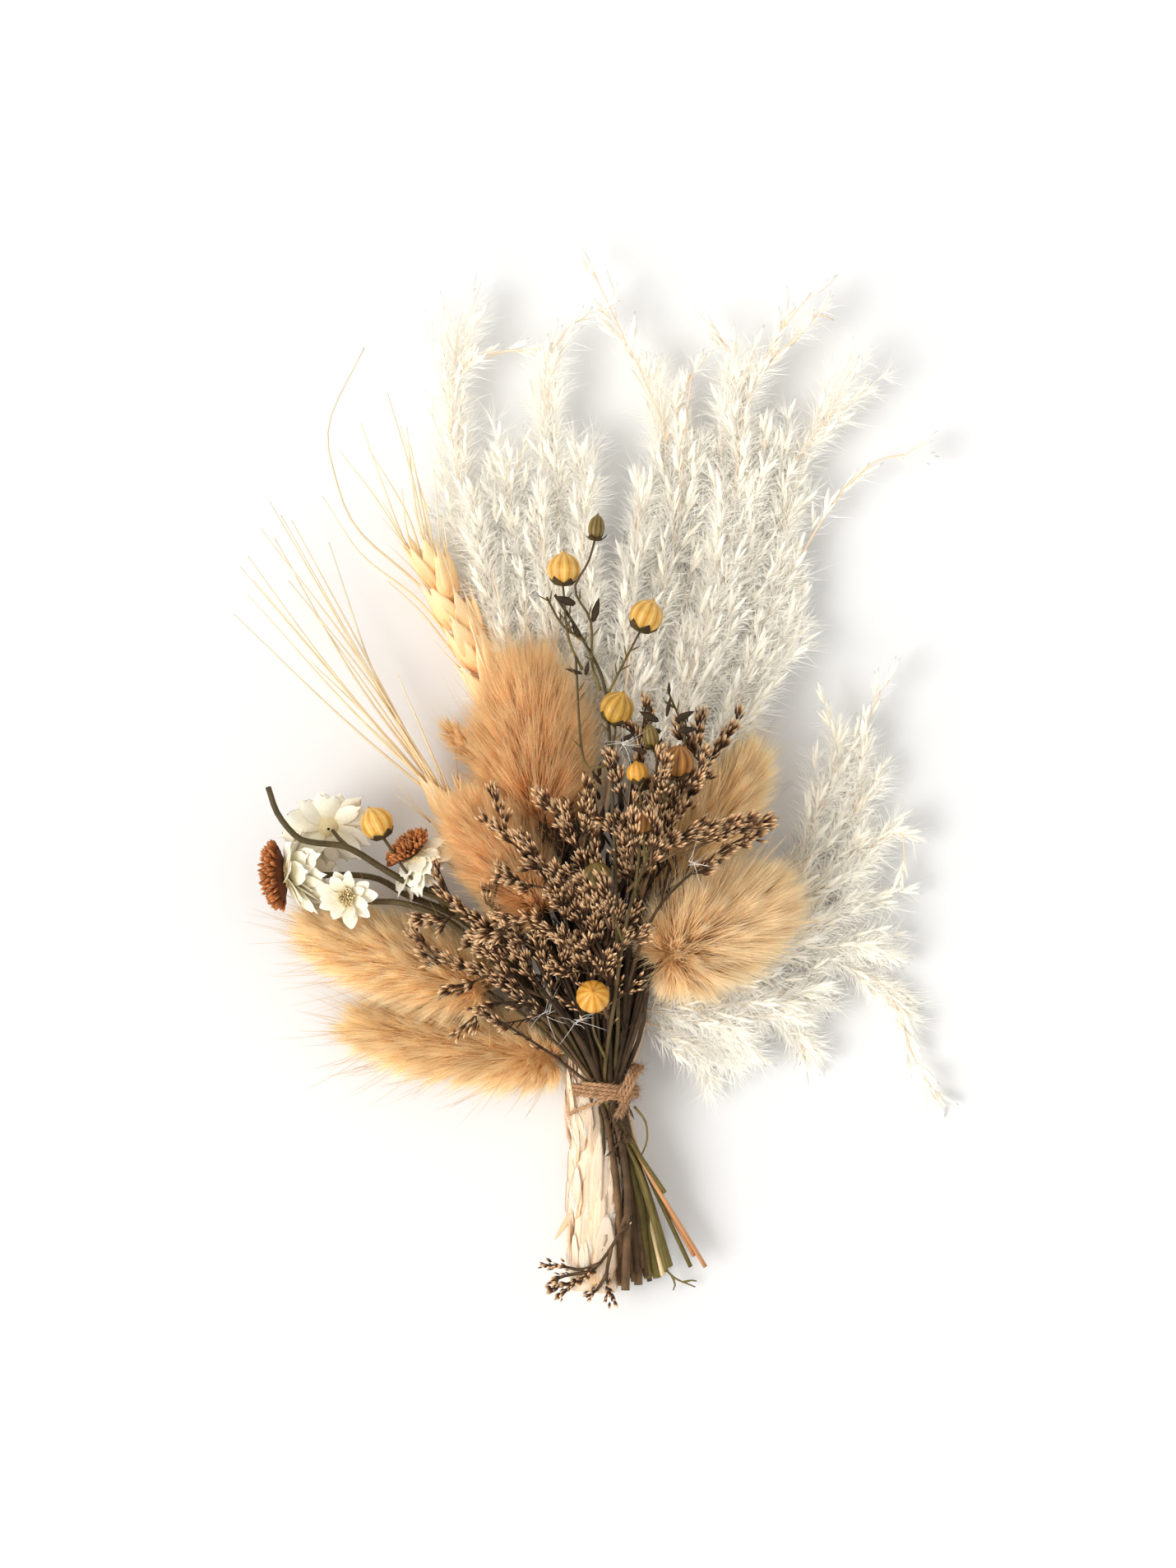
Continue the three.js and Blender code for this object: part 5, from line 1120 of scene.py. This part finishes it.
for name, pod, rng in seeded(PODS, 130):
    body, cup = Heap(), Heap()
    at, axis = np.array([pod["at"]], float), unit(np.array([pod["axis"]], float))
    radius = POD_RADIUS * pod["size"]
    slim = 0.66 if name.startswith("flax_bud") else 1.0
    lay(capsule(radius), at, axis, scatter(rng, 1), [slim, 1.12 if slim < 1 else 1, slim],
        body, rng.uniform(0.3, 0.7, 1))
    sepals(cup, at[0], axis[0], radius, rng)
    make_piece(f"{name}_shell", body, POD_FINISHES[pod["look"]], [name])
    make_piece(f"{name}_sepals", cup, SEPAL, [name])

# %% Flax stalks, with the small dry leaves and buds that cling to them
CLINGING = {  # place, way and length of each dry leaf or bud
    "flax_stalk_upper": [
        [[-6.3, 121.4, 30.6], [-1, 0.35, 0.1], 4.2], [[-2.6, 117.4, 30.6], [0.25, 1, 0.1], 4.6],
        [[-4.8, 106, 33], [-1, 0.3, 0], 3.4], [[-4.2, 105.6, 33.2], [0.2, 1, 0.2], 2.8],
        [[-5.6, 114, 31.4], [-0.5, 1, 0], 3], [[3.4, 91, 37.4], [1, 0.6, 0.1], 3.4],
    ],
    "flax_stalk_lower": [
        [[14.2, 101.2, 34.6], [0, 1, 0.1], 2.6], [[12, 95.5, 36.4], [-1, 0.5, 0.1], 4],
        [[13.6, 96.4, 36.4], [0.2, 1, 0], 4], [[15.4, 95.6, 36.2], [1, 0.5, 0.1], 4],
        [[12.6, 93.4, 36.8], [-1, -0.1, 0.2], 3.6], [[16, 93.4, 36.4], [1, 0.1, 0], 3.6],
        [[10.4, 97.4, 36.4], [-0.5, 1, 0.1], 3.2], [[9.4, 88.6, 38], [-1, 0.3, 0.1], 3],
    ],
    "flax_stalk_left": [],
}
for name, routes, rng in seeded(FLAX, 150):
    heap = Heap()
    for i, route in enumerate(routes):
        stalk(heap, route, 0.5 if i == 0 else 0.34, rng.random(), sides=7, taper=0.3, ridge=0.05)
        path = smooth(route, 80)
        path = path[path[:, 1] > 70]
        if len(path) > 10:
            point, way, side, up = stand(path, rng.uniform(0.1, 0.95, 4))
            hand = np.where(rng.random(4) > 0.5, 1.0, -1.0)[:, None]
            lay(SEPAL_SHAPE, point, unit(way + 0.7 * hand * side + 0.3 * up), up, [0.55, 3.2, 0.9], heap, rng.random(4))
    if CLINGING[name]:
        at, way, long = (np.array([leaf[i] for leaf in CLINGING[name]], float) for i in range(3))
        size = long[:, None] * np.array([0.25, 1.25, 0.6])
        leaves = Heap()
        lay(SEPAL_SHAPE, at, way, scatter(rng, len(at)), size, leaves, 0.3 * rng.random(len(at)), 1.0)
        make_piece(f"{name}_leaves", leaves, SEPAL, [name])
    make_piece(f"{name}_stalks", heap, OLIVE, [name])

# %% [markdown]
# ## Everlastings
# The papery petals of a winged everlasting stand in three rings round a bristly rust centre. A petal is one flat
# spindle, cupped across and jagged at its end; the rings differ in length and lift. The centre is a low dome of
# about fifty to two hundred and fifty florets.

# %% Petals
PETAL_SHAPE = spindle([(0, 0.3), (0.04, 0.42), (0.2, 0.74), (0.45, 1), (0.7, 0.92), (0.86, 0.58), (0.95, 0.26),
                       (1, 0)], 16, flat=0.05)


def cupped(template, cup, curl, teeth):
    """z += cup x^2 - curl y^2, and near the end y += teeth cos(9 x)."""
    corners = template[0].copy()
    x, y = corners[0, :, 0].copy(), corners[0, :, 1].copy()
    corners[0, :, 2] += cup * x**2 - curl * y**2
    corners[0, :, 1] += teeth * np.cos(9 * x) * np.clip((y - 0.6) / 0.4, 0, 1)
    return corners, *template[1:]


FLORET_SPIKE = spindle([(0, 0.5), (0.2, 0.8), (0.6, 1), (0.85, 0.6), (1, 0)], 5)
BUD_DISC = 3  # a disc with no larger a radius is still a bud, of ochre scales
RINGS = {  # petals in a ring, their length, width and lift above the bloom's plane
    "everlasting_1": [(12, 1.0, 2.5, -0.1), (11, 0.9, 2.3, 0.15), (9, 0.72, 1.9, 0.45)],
    "everlasting_2": [(12, 1.0, 3.2, -0.15), (11, 0.9, 3.0, 0.1), (9, 0.72, 2.6, 0.4)],
    "everlasting_3": [(9, 1.0, 1.7, 0.05), (7, 0.8, 1.4, 0.35), (7, 0.42, 0.7, 0.9)],
    "everlasting_4": [(12, 1.0, 3.1, -0.1), (11, 0.9, 2.8, 0.15), (9, 0.75, 2.4, 0.4)],
}


def bloom_of(name, bloom, rng):
    """Petal k of a ring: way = cos(lift) out(k) + sin(lift) axis; floret i of the dome by the golden angle."""
    at, axis = np.array(bloom["at"], float), unit(np.array(bloom["facing"], float))
    disc, is_open = bloom["disc"], bloom["disc"] > BUD_DISC
    side, up = sideways(axis, [0.2, 0.9, 0.1])
    petals, centre = Heap(), Heap()
    for count, long, wide, lift in RINGS[name]:
        turn = (np.arange(count) + rng.uniform(0, 1)) / count * 2 * math.pi + rng.normal(0, 0.07, count)
        out = around(turn, side, up)
        way = around(lift + bloom["rise"] + rng.normal(0, 0.09, count), out, axis)
        across = around(turn, up, -side) + 0.4 * scatter(rng, count)
        face = np.sign(np.sum(np.cross(across, way) * axis, axis=1))[:, None]
        size = sized(rng, count, 0.8, 1.12, [wide, long * bloom["petals"], wide])
        shape = cupped(PETAL_SHAPE, 0.2, -0.12, 0.08 if name != "everlasting_3" else 0.0)
        lay(shape, at + out * 0.9, way, across * face, size, petals, rng.random(count))
    out = around(np.arange(int(8 + 3 * disc)) * GOLDEN_ANGLE, side, up)
    lay(PETAL_SHAPE, at - axis * 1.2 + out * 0.3, unit(out + 0.5 * axis), np.cross(out, axis), [0.9, 3.2, 0.9], petals,
        0.3, 0.05)
    many, dome_share, spike_scale = (int(34 * disc), 1.0, 1) if is_open else (46, 0.6, 0.7)
    polar = np.arccos(1 - (np.arange(many) + 0.5) / many * dome_share)
    out = around(np.arange(many) * GOLDEN_ANGLE, side, up)
    dome = np.sin(polar)[:, None] * out + 0.42 * np.cos(polar)[:, None] * axis
    seats = at + axis * (0.7 + 0.1 * disc) + dome * disc * 0.86
    way = unit(0.8 * np.sin(polar)[:, None] * out + (0.35 + np.cos(polar)[:, None]) * axis + scatter(rng, many, 0.25))
    spike = sized(rng, many, 0.75, 1.25, [0.42, 2.4, 0.42]) * spike_scale
    lay(FLORET_SPIKE, seats - way * 0.4, way, scatter(rng, many), spike, centre, rng.random(many))
    pad = spindle([(0, 0)] + [(t, math.sqrt(max(0.0, 1 - (2 * t - 1) ** 2))) for t in np.linspace(0.05, 0.95, 9)]
                  + [(1, 0)], 20)
    lay(pad, (at + axis * 0.1)[None], axis[None], side[None],
        [disc * 0.84, 0.5 + 0.42 * disc, disc * 0.84], centre, 0.2, 0.1)
    make_piece(f"{name}_petal_rings", petals, PETAL, [f"{name}_petals"])
    make_piece(f"{name}_centre", centre, RUST if is_open else OCHRE, [f"{name}_disc"])


OCHRE = dry_finish("everlasting_bud_scales", [(0, (110, 76, 36)), (0.5, (204, 176, 116)), (1, (240, 226, 180))], 0.2,
                   (400, 0.2), rough=0.7)
for name, bloom, rng in seeded(BLOOMS, 170):
    bloom_of(name, bloom, rng)
for number, (name, routes) in enumerate(EVERLASTING_STEMS.items()):
    heap = Heap()
    for i, route in enumerate(routes):
        stalk(heap, route, 0.98 if i == 0 else 0.6, 0.3 + 0.2 * number, sides=15, taper=0.35, ridge=0.12)
    if name == "everlasting_stem_3":
        for twig in GREEN_TWIG:
            stalk(heap, twig, 0.3, 0.9, sides=6, taper=0.5, steps=1.2, rise=0.1)
    make_piece(f"{name}_stalks", heap, OLIVE, [name])

# %% [markdown]
# ## The twine
# Jute twine is two plies twisted round each other, with loose fibres. Its centre line goes three times round the
# bundle, an ellipse that climbs a little each turn, then through a small knot to a frayed end. Each ply circles the
# centre line, and many fine hairs stand off it.

# %% Twine
PLY_RADIUS, PLY_OFFSET, TWIST = 0.27, 0.24, 2.6  # the twist in radians per mm


def plies(heap, line, rng, fuzz=5.0):
    """Ply p of the line at length l: line + PLY_OFFSET (cos(TWIST l + p pi) side + sin(...) up)."""
    line = even(line, max(12, int(length_of(line) / 0.45)))
    gone = np.linspace(0, length_of(line), len(line))
    way = unit(np.gradient(line, axis=0))
    side, up = sideways(way, [0.1, 1.0, 0.15])
    for p in (0, 1):
        ply = line + PLY_OFFSET * around(TWIST * gone + p * math.pi, side, up)
        heap.add(sweep(ply[None], PLY_RADIUS, 7, ridge=0.06, ridges=4), 0.35 + 0.3 * p, 0.5)
    n = int(fuzz * length_of(line))
    pick = rng.integers(0, len(line), n)
    out = scatter(rng, n)
    hairs(heap, line[pick] + 0.35 * out, unit(way[pick] * rng.choice([-1, 1], (n, 1)) + 0.9 * out),
          rng.uniform(0.8, 2.6, n), scatter(rng, n, 0.5), 0.045, rng.random(n), rise=(0.5, 1))


def round_bundle(turns, start, y_from, y_to, swell=0.95, tilt=0.0):
    """Angle b: (x, z) = tie + (half + swell) (cos b, sin b), y from y_from to y_to, plus tilt cos b."""
    b = start + np.linspace(0, turns * 2 * math.pi, int(48 * turns))
    across, height = TIE_HALF + swell
    return np.stack([TIE[0] + across * np.cos(b), np.linspace(y_from, y_to, len(b)) + tilt * np.cos(b),
                     np.maximum(TIE[2] + height * np.sin(b), 0.75)], axis=1)


rng = np.random.default_rng(190)
twine = Heap()
wound = round_bundle(3.25, 0.75, 12.0, 14.9, tilt=-0.5)
plies(twine, wound, rng)
plies(twine, round_bundle(0.5, 0.6, 12.6, 9.6, 1.2, tilt=1.9), rng)
for offset in (-0.8, 0, 0.8):
    over = np.array([[4, 12.6, 18.2], [5, 14.4, 19.3], [6.1, 16.8, 19], [7.2, 18.4, 15.5], [7.6, 18.8, 10],
                     [5.6, 18, 5]])
    plies(twine, smooth(over + [offset, -0.3 * offset, 0], 50), rng)
knot = np.array([4.3, 12.9, 17.4])
for k in range(4):
    b = np.linspace(0, 2 * math.pi, 26)[:, None]
    lean = np.array([[0.25, 1, 0.1], [1, 0.35, 0.2], [0.8, 0.9, 0.3], [-0.4, 1, 0.5]][k])
    first = unit(lean)
    second = unit(np.cross(first, [0.2, -0.3, 1]))
    loop = knot + first * np.cos(b) * (1.5 - 0.2 * k) + second * np.sin(b) * 1.0 + [0, 0, 0.35 * k - 0.3]
    plies(twine, loop, rng, fuzz=9)
tail = smooth([knot + [1.0, 0.6, 0.8], knot + [0.2, -1.8, 1.1], knot + [-0.9, -3.8, 0.4]], 30)
plies(twine, tail, rng, fuzz=16)
n = 260
frayed = tail[rng.integers(8, 30, n)]
hairs(twine, frayed, unit(np.array([-0.25, -1.0, 0.1]) + scatter(rng, n, 0.75)), rng.uniform(1.0, 3.2, n),
      scatter(rng, n, 0.5), 0.06, rng.random(n), rise=(0.5, 1))
make_piece("jute_twine", twine, JUTE, ["twine"])

# %% [markdown]
# ## Studio
# The photograph looks straight down on a white surface, with a broad soft light from the upper left that throws a
# faint wide shadow to the right. A distant camera with a long lens keeps the proportions of the layout; a wide sun
# makes the soft shadow, and an even white sky fills it.

# %% Camera, floor and light
MM_PER_PIXEL = 0.183
PHOTO_WIDTH, PHOTO_HEIGHT = 1430, 1907
CENTRE_PIXEL = (715, 953.5)
ORIGIN_PIXEL = (735, 1400)
CAMERA_HEIGHT, SCALE_HEIGHT = 2.4, 0.012  # metres; the photo's scale holds at the second
SENSOR_WIDTH = 36
FLOOR_HALF = 3  # metres
SUN_WIDTH, SUN_TILT = 36, (12, -42)  # degrees
centre_x = (CENTRE_PIXEL[0] - ORIGIN_PIXEL[0]) * MM_PER_PIXEL * MM
centre_y = (ORIGIN_PIXEL[1] - CENTRE_PIXEL[1]) * MM_PER_PIXEL * MM
camera = in_scene("camera", bpy.data.cameras.new("camera"))
camera.location = (centre_x, centre_y, CAMERA_HEIGHT)
camera.data.sensor_width = SENSOR_WIDTH
camera.data.lens = SENSOR_WIDTH * (CAMERA_HEIGHT - SCALE_HEIGHT) / (PHOTO_HEIGHT * MM_PER_PIXEL * MM)
camera.data.clip_end = 20
bpy.context.scene.camera = camera
bpy.context.scene.view_settings.view_transform = "Standard"

floor_mesh = bpy.data.meshes.new("floor")
outline = [(x * FLOOR_HALF, y * FLOOR_HALF, 0) for x, y in ((-1, -1), (1, -1), (1, 1), (-1, 1))]
floor_mesh.from_pydata(outline, [], [(0, 1, 2, 3)])
floor = in_scene("floor", floor_mesh)
paint = bpy.data.materials.new("white_surface")
paint.use_nodes = True
wired(paint.node_tree, paint.node_tree.nodes["Principled BSDF"],
      {"Base Color": (0.93, 0.93, 0.935, 1), "Roughness": 0.95, "Specular IOR Level": 0.0})
floor_mesh.materials.append(paint)
floor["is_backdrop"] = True

sun = in_scene("window_light", bpy.data.lights.new("window_light", "SUN"))
sun.data.energy = 1.85
sun.data.angle = math.radians(SUN_WIDTH)
sun.data.color = (1.0, 0.985, 0.96)
sun.rotation_euler = (math.radians(SUN_TILT[0]), math.radians(SUN_TILT[1]), 0)
sky = bpy.data.worlds.new("white_room")
bpy.context.scene.world = sky
sky.use_nodes = True
wired(sky.node_tree, sky.node_tree.nodes["Background"], {"Color": (1.0, 0.995, 0.975, 1), "Strength": 0.72})
print("camera lens mm", round(camera.data.lens, 1))

# %% Sizes, and the end
new_low, new_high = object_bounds()
sizes = {"cad": [list(cad_low), list(cad_high)], "visual": [list(new_low), list(new_high)]}
for label, (low, high) in sizes.items():
    print(label, "mm", [round(c / MM, 1) for c in (*low, *high)])
